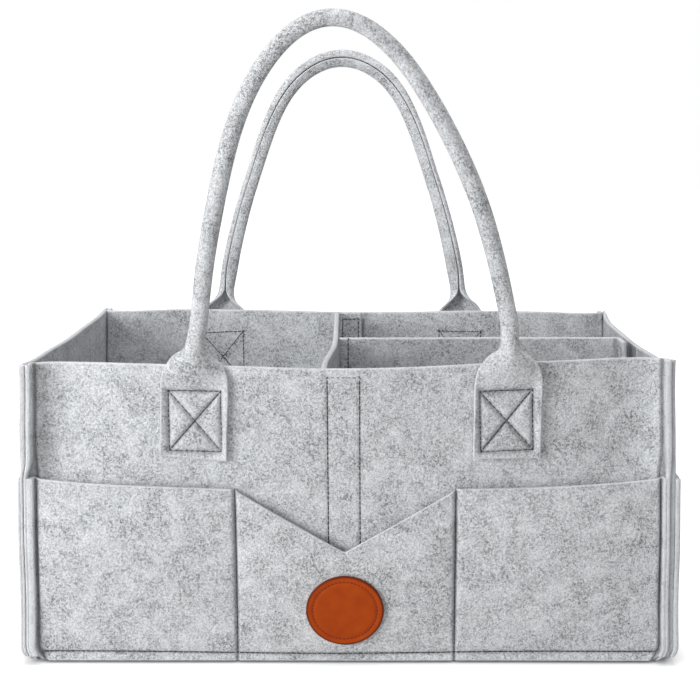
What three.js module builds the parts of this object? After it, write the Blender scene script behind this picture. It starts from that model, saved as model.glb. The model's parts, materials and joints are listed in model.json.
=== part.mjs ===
// Felt nursery caddy: a sewn felt box with outside pockets, two rolled carrying handles
// and a T-shaped divider that lifts out of hook-and-loop tapes.
// Units are millimetres. X runs along the length, the front faces -Y and +Z is up.
// The origin is the middle of the underside, on the surface that the caddy stands on.

import * as THREE from 'three';

// Box
const LENGTH = 376; // over the outer faces of the end walls, at the floor
const DEPTH = 215; // over the outer faces of the long walls, at the corners
const HEIGHT = 178; // rim above the floor, at the corners
const END_LEAN = 4; // how far each end wall leans in between floor and rim
const LONG_BOW = 15; // how far the rim of a long wall bows out in the middle
const BOW_POWER = 1.5; // higher keeps the bow nearer the middle
const RIM_DIP = 2.5; // how far that bowed rim drops in the middle
const CORNER_TUCK = 6; // how far the ends draw in where they meet the floor
const TUCK_HEIGHT = 12; // height over which the ends draw in

// Sheet materials
const WALL_FELT = 3.2;
const POCKET_FELT = 2.4;
const HANDLE_FELT = 2.5;
const LEATHER = 2;
const TAPE = 1; // thickness of one hook or loop tape

// Clearances
const SEAM_GAP = 0.3; // between two sewn layers
const HINGE_GAP = 0.8; // between a sewn handle tab and the grip that swings on it
const INSERT_CLEARANCE = 1; // between the divider and the base panel

// Seams and base
const SEAM_FLANGE = 7.5; // raw corner edges stand out past the long walls by this much
const BEND_RADIUS = 0.9; // tightest fold, on the innermost layer of a corner
const HEM = 5; // height of the stitch line round the bottom
const BASE_RISE = 6; // underside of the base panel above the floor, along its hem
const BASE_FOLD = 4; // outer fold radius of the base panel's hem
const BASE_CORNER = 8; // plan corner radius of the base panel
const BASE_SLOPE = 45; // distance from the hem at which the base panel lies on the floor

// Handles
const HANDLE_SPACING = 176; // between the middles of a handle's two tabs
const TAB_WIDTH = 38.5;
const TAB_LENGTH = 55; // from the corner rim down to the tab's lower edge
const TAB_SHOULDER = 11; // below the rim, where a tab starts to narrow
const TAB_STRAIGHT = 25; // below the rim, where a tab starts to leave the bowed wall
const NECK_WIDTH = 34; // width of the strip where it bends over the rim
const HINGE_RISE = 1; // fold line of the strip above the rim
const GRIP_STRIP = 25; // width of the strip that is rolled into the grip
const GRIP_RISE = 189; // middle of the rolled grip above the fold line, at the top of the arch
const ARCH_POWER = 4 / 3; // above 1 the arch is more pointed than a half ellipse
const ROLL_HEIGHT = 12; // height over which the strip rolls up
const ROLL_SLIT = 0.6; // slit left between the rolled edges, inside the roll
const FLAT_CURL = 0.01; // radians of curl that count as flat, at the fold line
const FRONT_HANDLE_LEAN = 5; // degrees, outwards
const BACK_HANDLE_LEAN = 13; // degrees, outwards

// Pockets and patch
const TAB_TO_POCKET = 12; // from the handle tabs down to the pocket mouth at the corners
const MOUTH_FALL = 4; // drop of the mouth from the corners to the stitch lines
const STITCH_SPACING = 124; // between the two vertical stitch lines
const POCKET_EASE = 6; // how far a pocket stands off its wall
const EASE_RUN = 24; // distance from a seam at which a pocket stands off fully
const PATCH_DIAMETER = 45;
const PATCH_HEIGHT = 33; // middle of the patch above the floor
const PATCH_MARGIN = 4; // from the patch up to where the pocket stops swelling
const NOTCH_TO_PATCH = 15; // from the patch up to the bottom of the V notch

// Divider
const INSERT_DROP = 3.5; // top edge of the divider below the lowest point of the rim
const CROSS_X = -12; // middle of the cross divider
const LONG_Y = 5; // middle of the long divider
const INSERT_TAB = 20.6; // width of an end tab, over the divider's own thickness
const INSERT_FOLD = 1.5; // inner fold radius at an end tab
const NOSE_TURN = 75; // degrees, rounding of the long divider's edge at the seam
const HOOK_WIDTH = 14;
const HOOK_MARGIN = 1; // from the hook tape to the free edge of its tab
const LOOP_WIDTH = 20;
const TAPE_DROP = 4; // top of a tape below the lowest point of the rim
const TAPE_FOOT = 32; // bottom of a loop tape above the base panel

// Values that follow from the sizes above
const CORNER_RADIUS = WALL_FELT + SEAM_GAP + POCKET_FELT + BEND_RADIUS;
const WALL_INNER = DEPTH / 2 - WALL_FELT;
const FLANGE_TIP = DEPTH / 2 + SEAM_FLANGE;
const BASE_TOP = BASE_RISE + WALL_FELT;
const MOUTH_CORNER = HEIGHT - TAB_LENGTH - TAB_TO_POCKET;
const PATCH_TOP = PATCH_HEIGHT + PATCH_DIAMETER / 2;
const SWELL_TOP = PATCH_TOP + PATCH_MARGIN;
const NOTCH_FLOOR = PATCH_TOP + NOTCH_TO_PATCH;
const STITCH_X = STITCH_SPACING / 2;
const TAPE_STACK = 2 * TAPE + 3 * SEAM_GAP; // wall to divider tab
const INSERT_BOTTOM = BASE_TOP + INSERT_CLEARANCE;
const INSERT_TOP = HEIGHT - RIM_DIP - INSERT_DROP;
const INSERT_BEND = WALL_FELT + INSERT_FOLD;
const CROSS_LEFT = CROSS_X - WALL_FELT / 2;
const CROSS_TIP = CROSS_LEFT + INSERT_TAB;
const HOOK_X = CROSS_TIP - HOOK_MARGIN - HOOK_WIDTH / 2;
const SEAM_X = CROSS_X + WALL_FELT + SEAM_GAP; // upright seam that the long divider swings on
const LONG_BACK = LONG_Y + WALL_FELT / 2;
const LONG_TIP = LONG_BACK - INSERT_TAB;
const HOOK_Y = LONG_TIP + HOOK_MARGIN + HOOK_WIDTH / 2;
const TAPE_TOP = HEIGHT - RIM_DIP - TAPE_DROP;
const TAPE_BOTTOM = BASE_TOP + TAPE_FOOT;

// Facet counts
const RUN_STEPS = 14; // along a long wall
const BAY_STEPS = 8; // across one pocket
const BEND_STEPS = 3; // round one fold
const TUCK_STEPS = 4; // up the drawn-in foot
const RISE_STEPS = 6; // from the foot to the rim
const ARCH_STEPS = 24; // along the rolled grip
const ROLL_STEPS = 8; // across the handle strip
const NECK_STEPS = 6; // up the part of the strip that rolls
const DISC_STEPS = 32;

const FRONT = -1;
const BACK = 1;
const LEFT = -1;
const RIGHT = 1;

const { lerp, degToRad, clamp } = THREE.MathUtils;

// Evenly spaced values from a to b, both ends included.
const spread = (a, b, steps) => Array.from({ length: steps + 1 }, (_, i) => lerp(a, b, i / steps));
const ease = (t) => THREE.MathUtils.smoothstep(t, 0, 1);

// Surfaces that every panel follows

// How far the end walls are drawn in at height z.
const tuckAt = (z) => CORNER_TUCK * Math.max(0, 1 - z / TUCK_HEIGHT) ** 2;

// Inner face of an end wall, as a distance from the middle.
const endInner = (z) => LENGTH / 2 - WALL_FELT - (END_LEAN * z) / HEIGHT - tuckAt(z);

// Half the length of the bowed run of a long wall, between its corner folds.
const runHalf = (z) => endInner(z) - SEAM_GAP - CORNER_RADIUS;

// Bow of a long wall from its corners (0) to its middle (1).
const bowShape = (x, z) => Math.max(0, 1 - (x / runHalf(z)) ** 2) ** BOW_POWER;
const bowAt = (x, z) => LONG_BOW * (z / HEIGHT) ** 2 * bowShape(x, z);

// Height of the rim of a long wall.
const rimAt = (x) => HEIGHT - RIM_DIP * bowShape(x, HEIGHT);

// Share of a pocket's ease between two seams at a and b.
const bayShape = (x, a, b) => ease(clamp(Math.min(x - a, b - x) / EASE_RUN, 0, 1));
const swellAt = (z) => POCKET_EASE * clamp((z - HEM) / (SWELL_TOP - HEM), 0, 1);

// Bays of a long pocket: corner to stitch line, between the lines, and to the other corner.
const bayEdges = (z) => [-runHalf(z), -STITCH_X, STITCH_X, runHalf(z)];

// How far the long pockets stand off the wall.
function longEase(x, z) {
  const edges = bayEdges(z);
  const bay = x < edges[1] ? 0 : x > edges[2] ? 2 : 1;
  return swellAt(z) * bayShape(x, edges[bay], edges[bay + 1]);
}

// Closed solids

// Makes a mesh geometry from points and triangles, with its faces turned outwards.
function closedGeometry(points, triangles) {
  let volume = 0;
  for (const [a, b, c] of triangles) {
    volume += points[a].dot(new THREE.Vector3().crossVectors(points[b], points[c]));
  }
  const index = volume < 0 ? triangles.map(([a, b, c]) => [a, c, b]) : triangles;
  const geometry = new THREE.BufferGeometry().setFromPoints(points);
  geometry.setIndex(index.flat());
  geometry.computeVertexNormals();
  return geometry;
}

// A bent sheet: two grids of points of the same size, joined round their edges.
function sheetGeometry(faceA, faceB) {
  const columns = faceA.length;
  const rows = faceA[0].length;
  const points = [...faceA.flat(), ...faceB.flat()];
  const at = (face, i, j) => face * columns * rows + i * rows + j;
  const triangles = [];
  const quad = (a, b, c, d) => triangles.push([a, b, c], [a, c, d]);
  for (let i = 0; i + 1 < columns; i += 1) {
    for (let j = 0; j + 1 < rows; j += 1) {
      quad(at(0, i, j), at(0, i + 1, j), at(0, i + 1, j + 1), at(0, i, j + 1));
      quad(at(1, i, j), at(1, i, j + 1), at(1, i + 1, j + 1), at(1, i + 1, j));
    }
    quad(at(0, i, 0), at(1, i, 0), at(1, i + 1, 0), at(0, i + 1, 0));
    quad(at(0, i, rows - 1), at(0, i + 1, rows - 1), at(1, i + 1, rows - 1), at(1, i, rows - 1));
  }
  for (let j = 0; j + 1 < rows; j += 1) {
    quad(at(0, 0, j), at(0, 0, j + 1), at(1, 0, j + 1), at(1, 0, j));
    quad(at(0, columns - 1, j), at(1, columns - 1, j), at(1, columns - 1, j + 1), at(0, columns - 1, j + 1));
  }
  return closedGeometry(points, triangles);
}

// A dished plate: closed rings from the middle of one face, over the edge, to the middle of the other.
function ringGeometry(rings) {
  const size = rings[0].length;
  const middle = (ring) => ring.reduce((sum, p) => sum.add(p), new THREE.Vector3()).divideScalar(size);
  const last = rings.length - 1;
  const points = [...rings.flat(), middle(rings[0]), middle(rings[last])];
  const triangles = [];
  for (let j = 0; j < size; j += 1) {
    const next = (j + 1) % size;
    for (let k = 0; k < last; k += 1) {
      const a = k * size;
      const b = a + size;
      triangles.push([a + j, a + next, b + next], [a + j, b + next, b + j]);
    }
    triangles.push([points.length - 2, next, j], [points.length - 1, last * size + j, last * size + next]);
  }
  return closedGeometry(points, triangles);
}

// Long walls and what lies flat on them

// A column of a long panel gives x and the distance out from the middle at a height and a depth.
// Depth is measured outwards from the inner face of the wall.
const flangeColumn = (end, t) => (z, depth) => ({
  x: end * (endInner(z) - SEAM_GAP - depth),
  out: lerp(FLANGE_TIP, WALL_INNER + CORNER_RADIUS, t),
});

const foldColumn = (end, angle) => (z, depth) => ({
  x: end * (runHalf(z) + (CORNER_RADIUS - depth) * Math.cos(angle)),
  out: WALL_INNER + CORNER_RADIUS - (CORNER_RADIUS - depth) * Math.sin(angle),
});

const runColumn = (xAt) => (z, depth) => ({
  x: xAt(z),
  out: WALL_INNER + depth + bowAt(xAt(z), z),
});

const pocketColumn = (xAt) => (z, depth) => ({
  x: xAt(z),
  out: WALL_INNER + depth + bowAt(xAt(z), z) + longEase(xAt(z), z),
});

// Flange and fold at one end, from the tip inwards.
const cornerColumns = (end) => [
  flangeColumn(end, 0),
  ...spread(0, Math.PI / 2, BEND_STEPS).slice(0, -1).map((angle) => foldColumn(end, angle)),
];

const withCorners = (columns) => [
  ...cornerColumns(LEFT),
  ...columns,
  ...cornerColumns(RIGHT).reverse(),
];

// Heights of the points in a column that stands on the floor.
const uprightLevels = (top) => [
  ...spread(0, TUCK_HEIGHT, TUCK_STEPS),
  ...spread(TUCK_HEIGHT, top, RISE_STEPS).slice(1),
];

const pocketLevels = (top) => [
  ...spread(0, TUCK_HEIGHT, TUCK_STEPS),
  ...spread(TUCK_HEIGHT, SWELL_TOP, 2).slice(1),
  top,
];

// Points of a long panel between two depths.
function longSheet(side, columns, levelsOf, inner, outer) {
  const grid = (depth) => columns.map((column) => levelsOf(column).map((z) => {
    const { x, out } = column(z, depth);
    return new THREE.Vector3(x, side * out, z);
  }));
  return sheetGeometry(grid(inner), grid(outer));
}

const columnX = (column, z) => column(z, 0).x;

function longWall(side) {
  const run = spread(-1, 1, RUN_STEPS).map((f) => runColumn((z) => f * runHalf(z)));
  const levels = (column) => uprightLevels(rimAt(columnX(column, HEIGHT)));
  return longSheet(side, withCorners(run), levels, 0, WALL_FELT);
}

// Mouth of a pocket with a V notch between its stitch lines, and of one without.
function slopingMouth(x) {
  const corner = runHalf(MOUTH_CORNER);
  const fall = clamp((corner - Math.abs(x)) / (corner - STITCH_X), 0, 1);
  return MOUTH_CORNER - MOUTH_FALL * fall;
}

function notchedMouth(x) {
  const across = clamp(1 - Math.abs(x) / STITCH_X, 0, 1);
  return lerp(slopingMouth(x), NOTCH_FLOOR, across);
}

function longPocket(side, mouthAt) {
  const bays = [0, 1, 2].flatMap((bay) => {
    const steps = spread(0, 1, BAY_STEPS).slice(bay === 0 ? 0 : 1);
    return steps.map((f) => pocketColumn((z) => lerp(bayEdges(z)[bay], bayEdges(z)[bay + 1], f)));
  });
  const levels = (column) => pocketLevels(mouthAt(columnX(column, MOUTH_CORNER)));
  const inner = WALL_FELT + SEAM_GAP;
  return longSheet(side, withCorners(bays), levels, inner, inner + POCKET_FELT);
}

// Leather disc on the front pocket, bent with it.
function patch() {
  const base = WALL_INNER + WALL_FELT + SEAM_GAP + POCKET_FELT + SEAM_GAP;
  const ring = (radius, lift) => spread(0, 2 * Math.PI, DISC_STEPS).slice(0, -1).map((angle) => {
    const x = radius * Math.cos(angle);
    const z = PATCH_HEIGHT + radius * Math.sin(angle);
    return new THREE.Vector3(x, FRONT * (base + lift + bowAt(x, z) + longEase(x, z)), z);
  });
  const edge = PATCH_DIAMETER / 2;
  const inside = edge / 2;
  return ringGeometry([ring(inside, 0), ring(edge, 0), ring(edge, LEATHER), ring(inside, LEATHER)]);
}

// A tape sewn to the inner face of a long wall, or to the divider tab that meets it.
function longTape(side, middle, width, lift) {
  const run = spread(middle - width / 2, middle + width / 2, 2).map((x) => runColumn(() => x));
  const levels = () => spread(TAPE_BOTTOM, TAPE_TOP, RISE_STEPS);
  return longSheet(side, run, levels, -lift, -lift - TAPE);
}

// End walls and what lies flat on them

// Points of an end panel between two depths, measured outwards from the wall's inner face.
function endSheet(end, ys, levels, inner, outer, easeAt = () => 0) {
  const grid = (depth) => ys.map((y) => levels.map((z) => {
    const x = end * (endInner(z) + depth + easeAt(y, z));
    return new THREE.Vector3(x, y, z);
  }));
  return sheetGeometry(grid(inner), grid(outer));
}

const endWall = (end) => (
  endSheet(end, spread(-FLANGE_TIP, FLANGE_TIP, 2), uprightLevels(HEIGHT), 0, WALL_FELT)
);

function endPocket(end) {
  const ys = spread(-FLANGE_TIP, FLANGE_TIP, 2 * BAY_STEPS);
  const easeAt = (y, z) => swellAt(z) * bayShape(y, -FLANGE_TIP, FLANGE_TIP);
  const inner = WALL_FELT + SEAM_GAP;
  return endSheet(end, ys, pocketLevels(MOUTH_CORNER), inner, inner + POCKET_FELT, easeAt);
}

function endTape(end, middle, width, lift) {
  const ys = spread(middle - width / 2, middle + width / 2, 1);
  return endSheet(end, ys, spread(TAPE_BOTTOM, TAPE_TOP, 1), -lift, -lift - TAPE);
}

// Base panel: a tray with its edges turned down, resting on the floor in the middle.
function basePanel() {
  const ring = ({ inset, z }) => {
    const halfX = endInner(z) - SEAM_GAP - inset;
    const halfY = WALL_INNER - SEAM_GAP - inset;
    const radius = Math.max(BASE_CORNER - inset, BASE_CORNER / 2);
    return [[1, 1, 0], [-1, 1, 1], [-1, -1, 2], [1, -1, 3]].flatMap(([sx, sy, quarter]) => (
      spread(0, Math.PI / 2, BEND_STEPS).map((turn) => {
        const angle = turn + (quarter * Math.PI) / 2;
        const x = sx * (halfX - radius) + radius * Math.cos(angle);
        const y = sy * (halfY - radius) + radius * Math.sin(angle);
        return new THREE.Vector3(x, y, z);
      })
    ));
  };
  // Fold and slope of one face, depth below the upper face.
  const profile = (depth) => [
    { inset: depth, z: 0 },
    ...spread(0, Math.PI / 2, BEND_STEPS).map((angle) => ({
      inset: BASE_FOLD - (BASE_FOLD - depth) * Math.cos(angle),
      z: BASE_TOP - BASE_FOLD + (BASE_FOLD - depth) * Math.sin(angle),
    })),
    ...spread(0, 1, 2 * BEND_STEPS).slice(1).map((t) => ({
      inset: lerp(BASE_FOLD, BASE_SLOPE, t),
      z: lerp(BASE_TOP - depth, WALL_FELT - depth, ease(t)),
    })),
  ];
  return ringGeometry([...profile(WALL_FELT).reverse(), ...profile(0)].map(ring));
}

// Handles

const HANDLE_X = HANDLE_SPACING / 2;
const HINGE_Z = rimAt(HANDLE_X) + HINGE_RISE;

// Bow under a handle tab: the wall's own, straightened towards the fold line.
function tabBow(middle, x, z) {
  const level = Math.min(z, HEIGHT);
  const straight = bowAt(Math.abs(middle) - TAB_WIDTH / 2, level);
  const start = rimAt(middle) - TAB_STRAIGHT;
  return lerp(bowAt(x, level), straight, ease(clamp((z - start) / TAB_STRAIGHT, 0, 1)));
}

// Outer face of the handle strip at its fold line.
const HINGE_OUT = WALL_INNER + WALL_FELT + SEAM_GAP + HANDLE_FELT + tabBow(HANDLE_X, HANDLE_X, HINGE_Z);

function handleTab(side, middle) {
  const shoulder = rimAt(middle) - TAB_SHOULDER;
  const top = HINGE_Z - HINGE_GAP / 2;
  const widthAt = (z) => lerp(TAB_WIDTH, NECK_WIDTH, clamp((z - shoulder) / (top - shoulder), 0, 1));
  const levels = [
    ...spread(HEIGHT - TAB_LENGTH, shoulder, RISE_STEPS),
    ...spread(shoulder, top, BEND_STEPS).slice(1),
  ];
  const inner = WALL_INNER + WALL_FELT + SEAM_GAP;
  const grid = (depth) => spread(-0.5, 0.5, BEND_STEPS + 1).map((f) => levels.map((z) => {
    const x = middle + f * widthAt(z);
    return new THREE.Vector3(x, side * (inner + depth + tabBow(middle, x, z)), z);
  }));
  return sheetGeometry(grid(0), grid(HANDLE_FELT));
}

// Arch of the handle above its fold line: half width and height at a turn from 0 to pi.
const archX = (turn) => HANDLE_X * Math.cos(turn);
const archRise = (turn) => GRIP_RISE * Math.sin(turn) ** ARCH_POWER;
const archTurn = (rise) => Math.asin((rise / GRIP_RISE) ** (1 / ARCH_POWER));

// Cross-section of the strip at a height: flat at the fold line, rolled above it.
function rollAt(rise) {
  const t = ease(clamp((rise - HINGE_GAP / 2) / ROLL_HEIGHT, 0, 1));
  const slit = ROLL_SLIT / (GRIP_STRIP / (2 * Math.PI) - HANDLE_FELT / 2);
  const width = lerp(NECK_WIDTH, GRIP_STRIP, t);
  const curl = lerp(FLAT_CURL, 2 * Math.PI - slit, t);
  return { curl, radius: width / curl };
}

// Grip in its own frame: X along the fold line, Y inwards from the strip's outer face, Z up.
function gripGeometry() {
  const start = HINGE_GAP / 2;
  const rolled = archTurn(start + ROLL_HEIGHT);
  const neck = spread(start, start + ROLL_HEIGHT, NECK_STEPS).map(archTurn).slice(0, -1);
  const turns = [
    ...neck,
    ...spread(rolled, Math.PI - rolled, ARCH_STEPS),
    ...neck.map((turn) => Math.PI - turn).reverse(),
  ];
  const step = archTurn(start) / 2;
  const grid = (depth) => turns.map((turn) => {
    const rise = archRise(turn);
    const before = new THREE.Vector2(archX(turn - step), archRise(turn - step));
    const after = new THREE.Vector2(archX(turn + step), archRise(turn + step));
    const along = after.sub(before).normalize();
    const { curl, radius } = rollAt(rise);
    const reach = radius + HANDLE_FELT / 2 - depth;
    return spread(-curl / 2, curl / 2, ROLL_STEPS).map((angle) => {
      const aside = reach * Math.sin(angle);
      const inwards = radius + HANDLE_FELT / 2 - reach * Math.cos(angle);
      return new THREE.Vector3(archX(turn) + along.y * aside, inwards, rise - along.x * aside);
    });
  });
  return sheetGeometry(grid(0), grid(HANDLE_FELT));
}

// Divider

// Wall-side face of the divider's tabs, as a distance out from the middle.
const insertOut = (x, z) => WALL_INNER + bowAt(x, z) - TAPE_STACK;
const insertEnd = (z) => endInner(z) - TAPE_STACK;

const insertLevels = spread(INSERT_BOTTOM, INSERT_TOP, RISE_STEPS + TUCK_STEPS);

// Cross divider: front tab, fold, panel, fold and back tab, all in one piece.
function crossDivider() {
  const foldX = CROSS_LEFT + INSERT_BEND;
  const foldOut = (z) => insertOut(foldX, z) - INSERT_BEND;
  const tab = (side, x) => (z, depth) => [x, side * (insertOut(x, z) - depth)];
  const fold = (side, angle) => (z, depth) => [
    foldX - (INSERT_BEND - depth) * Math.sin(angle),
    side * (foldOut(z) + (INSERT_BEND - depth) * Math.cos(angle)),
  ];
  const half = (side) => [
    tab(side, CROSS_TIP),
    ...spread(0, Math.PI / 2, BEND_STEPS).map((angle) => fold(side, angle)),
  ];
  const columns = [...half(FRONT), ...half(BACK).reverse()];
  const grid = (depth) => columns.map((column) => insertLevels.map((z) => (
    new THREE.Vector3(...column(z, depth), z)
  )));
  return sheetGeometry(grid(0), grid(WALL_FELT));
}

// Long divider: a rounded edge at the seam, the panel, a fold and its end tab.
function longDivider() {
  const half = WALL_FELT / 2;
  const foldY = LONG_BACK - INSERT_BEND;
  const foldX = (z) => insertEnd(z) - INSERT_BEND;
  const nose = (angle) => (z, depth) => [
    SEAM_X - half * Math.sin(angle),
    LONG_Y + (half - depth) * Math.cos(angle),
  ];
  const fold = (angle) => (z, depth) => [
    foldX(z) + (INSERT_BEND - depth) * Math.sin(angle),
    foldY + (INSERT_BEND - depth) * Math.cos(angle),
  ];
  const tip = (z, depth) => [insertEnd(z) - depth, LONG_TIP];
  const columns = [
    ...spread(degToRad(NOSE_TURN), 0, BEND_STEPS).map(nose),
    ...spread(0, Math.PI / 2, BEND_STEPS).map(fold),
    tip,
  ];
  const grid = (depth) => columns.map((column) => insertLevels.map((z) => (
    new THREE.Vector3(...column(z, depth), z)
  )));
  return sheetGeometry(grid(0), grid(WALL_FELT));
}

// Materials

const finish = (color, roughness) => new THREE.MeshStandardMaterial({ color, roughness, metalness: 0 });
const felt = finish('#c3c5c9', 0.95);
const leather = finish('#a34113', 0.5);
const tape = finish('#8f9296', 0.9);

// Scene

const caddy = new THREE.Group();

function piece(name, geometry, material) {
  const mesh = new THREE.Mesh(geometry, material);
  mesh.name = name;
  caddy.add(mesh);
  return mesh;
}

piece('base_panel', basePanel(), felt);
piece('left_wall', endWall(LEFT), felt);
piece('right_wall', endWall(RIGHT), felt);
piece('left_pocket', endPocket(LEFT), felt);
piece('right_pocket', endPocket(RIGHT), felt);
piece('front_pocket', longPocket(FRONT, notchedMouth), felt);
piece('back_pocket', longPocket(BACK, slopingMouth), felt);
piece('leather_patch', patch(), leather);

for (const [name, side, lean] of [['front', FRONT, FRONT_HANDLE_LEAN], ['back', BACK, BACK_HANDLE_LEAN]]) {
  piece(`${name}_wall`, longWall(side), felt);
  piece(`${name}_loop_tape`, longTape(side, HOOK_X, LOOP_WIDTH, SEAM_GAP), tape);
  piece(`${name}_hook_tape`, longTape(side, HOOK_X, HOOK_WIDTH, TAPE + 2 * SEAM_GAP), tape);
  piece(`${name}_handle_left_tab`, handleTab(side, -HANDLE_X), felt);
  piece(`${name}_handle_right_tab`, handleTab(side, HANDLE_X), felt);
  const grip = piece(`${name}_handle_grip`, gripGeometry(), felt);
  grip.position.set(0, side * HINGE_OUT, HINGE_Z);
  grip.rotation.set(degToRad(lean), 0, side === BACK ? Math.PI : 0, 'ZXY');
}

piece('right_loop_tape', endTape(RIGHT, HOOK_Y, LOOP_WIDTH, SEAM_GAP), tape);
piece('right_hook_tape', endTape(RIGHT, HOOK_Y, HOOK_WIDTH, TAPE + 2 * SEAM_GAP), tape);
piece('cross_divider', crossDivider(), felt);
piece('long_divider', longDivider(), felt);

export default caddy;
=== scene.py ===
"""Looks of a sewn felt nursery caddy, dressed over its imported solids.

Sizes are millimetres in the caddy's own frame: X runs along the length, the front faces -Y and Z is up.
Meshes are written in metres. Of two values for both ends or sides, the left or front one comes first.
"""

import json
import logging
import math
from dataclasses import dataclass, field
from enum import Enum
from functools import partial
from typing import Any, Callable, Iterable, Sequence

import bpy
import numpy as np
from bpy.types import Material, Mesh, Node, NodeSocket, NodeTree, Object, bpy_prop_collection
from mathutils import Matrix, Vector

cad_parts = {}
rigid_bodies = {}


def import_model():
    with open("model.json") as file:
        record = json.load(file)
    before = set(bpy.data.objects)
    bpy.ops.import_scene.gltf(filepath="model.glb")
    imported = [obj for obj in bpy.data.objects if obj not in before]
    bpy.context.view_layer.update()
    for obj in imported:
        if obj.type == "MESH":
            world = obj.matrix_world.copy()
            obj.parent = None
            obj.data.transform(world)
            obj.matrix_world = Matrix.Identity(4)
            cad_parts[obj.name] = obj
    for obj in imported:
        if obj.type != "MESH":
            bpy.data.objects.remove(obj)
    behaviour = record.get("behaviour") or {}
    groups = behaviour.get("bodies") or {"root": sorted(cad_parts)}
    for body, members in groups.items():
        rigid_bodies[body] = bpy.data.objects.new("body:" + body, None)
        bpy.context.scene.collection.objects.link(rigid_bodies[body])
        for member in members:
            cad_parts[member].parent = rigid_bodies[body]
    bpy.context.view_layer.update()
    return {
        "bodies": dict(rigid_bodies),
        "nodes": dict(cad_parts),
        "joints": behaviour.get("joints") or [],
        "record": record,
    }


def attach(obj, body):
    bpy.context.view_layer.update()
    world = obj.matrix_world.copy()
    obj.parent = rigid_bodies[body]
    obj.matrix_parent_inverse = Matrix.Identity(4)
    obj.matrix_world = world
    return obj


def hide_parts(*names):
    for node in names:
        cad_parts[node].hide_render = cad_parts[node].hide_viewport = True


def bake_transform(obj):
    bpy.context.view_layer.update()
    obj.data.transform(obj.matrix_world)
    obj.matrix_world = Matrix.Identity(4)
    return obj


LOG = logging.getLogger("felt_caddy")
MM = 0.001
REST = "felt_rest"  # a point's place before anything moves
EDGE = "felt_edge"  # 1 on a cut edge, 0 away from it
CREASE_SHADE = "felt_press"  # 1 where painted shade darkens the felt in its folds, creases and stitch grooves, 0 away from it
PILE_OUT = "pile_out"  # direction that a hook or loop stands in
SHOULDER = 0.9  # how much of a cut edge the rounded rim of a face counts as
QUARTER = math.pi / 2

Points = np.ndarray
Pair = tuple[float, float]
Shape = Callable[[Any], Any]
Press = Callable[[np.ndarray, np.ndarray], np.ndarray]


class Side(Enum):
    """The two long sides."""

    FRONT = -1
    BACK = 1


class End(Enum):
    """The two ends."""

    LEFT = -1
    RIGHT = 1


class Zone(Enum):
    """Where an upright line of a long panel lies."""

    FLANGE = "flange"
    FOLD = "fold"
    RUN = "run"


class Slot(Enum):
    """Material slots of the record."""

    FELT = "felt"
    LEATHER = "leather"
    TAPE = "tape"


class Hold(Enum):
    """How a sheet is held in its shape."""

    STRETCHED = "stretched"
    FOLDED = "folded"
    LAID = "laid"


class Half(Enum):
    """The two halves of a fastener of tapes."""

    HOOK = "hook"
    LOOP = "loop"


# Small helpers on numbers


def ease(t: Any) -> Any:
    """Smooth step from 0 to 1, flat at both ends."""
    t = np.clip(t, 0.0, 1.0)
    return t * t * (3.0 - 2.0 * t)


def ramp(value: Any, low: Any, high: Any) -> Any:
    """Smooth step from 0 at a low value to 1 at a high one."""
    return ease((value - low) / (high - low))


def lerp(a: Any, b: Any, t: Any) -> Any:
    """Value between a and b."""
    return a + (b - a) * t


def pick(pair: Sequence[float], way: float) -> float:
    """First of a pair for a negative way, or else the second."""
    return pair[0 if way < 0 else 1]


def xyz(x: Any, y: Any, z: Any) -> Points:
    """Points from their coordinates, which may be single numbers."""
    return np.stack(np.broadcast_arrays(x, y, z), -1)


def linear(hex_colour: str) -> tuple[float, float, float, float]:
    """Turns an sRGB hex colour to linear RGBA.

    Args:
        hex_colour: Colour such as "#c4c6ca".

    Returns:
        The linear colour with full alpha.
    """
    values = [int(hex_colour[i:i + 2], 16) / 255 for i in (1, 3, 5)]
    return (*(v / 12.92 if v <= 0.04045 else ((v + 0.055) / 1.055) ** 2.4 for v in values), 1.0)


def graded(low: float, high: float, step: float, marks: Iterable[float] = (), fine: float = 0.8,
           lip: float = 1.5) -> np.ndarray:
    """Spaces positions along a line, closer together round stitch lines.

    Args:
        low: First position.
        high: Last position.
        step: Usual spacing.
        marks: Positions of stitch lines.
        fine: Spacing round a stitch line.
        lip: Room left free next to both ends for a rounded edge.

    Returns:
        The positions in rising order.
    """
    same, near_gap, other_gap = 1e-6, 0.6 * fine, 0.75 * fine
    base = np.linspace(low, high, max(2, round((high - low) / step)) + 1)
    close = [mark + k * fine for mark in marks for k in range(-3, 4)]
    kept = [low]
    for place in sorted((*close, *base, low + lip, high - lip)):
        near_mark = any(abs(place - mark) < same for mark in close)
        gap = near_gap if near_mark else other_gap
        if low + lip - same <= place <= high - lip + same and place - kept[-1] >= gap:
            kept.append(place)
    return np.array([*kept, high])


def groove(distance: Any, depth: float, width: float) -> Any:
    """Depth that thread pulls felt in, by the distance from it."""
    return depth * np.exp(-((distance / width) ** 2))


def to_segments(x: np.ndarray, z: np.ndarray, lines: Sequence[Points]) -> np.ndarray:
    """Finds the distance from points to the nearest of some flat polylines.

    Args:
        x: First coordinate of the points.
        z: Second coordinate of the points.
        lines: Polylines, each an array of two columns.

    Returns:
        The distances, in the shape of x.
    """
    best = np.full(np.shape(x), np.inf)
    for line in lines:
        for (ax, az), (bx, bz) in zip(line[:-1], line[1:]):
            dx, dz = bx - ax, bz - az
            t = np.clip(((x - ax) * dx + (z - az) * dz) / (dx * dx + dz * dz), 0, 1)
            best = np.minimum(best, np.hypot(x - ax - t * dx, z - az - t * dz))
    return best


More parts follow.
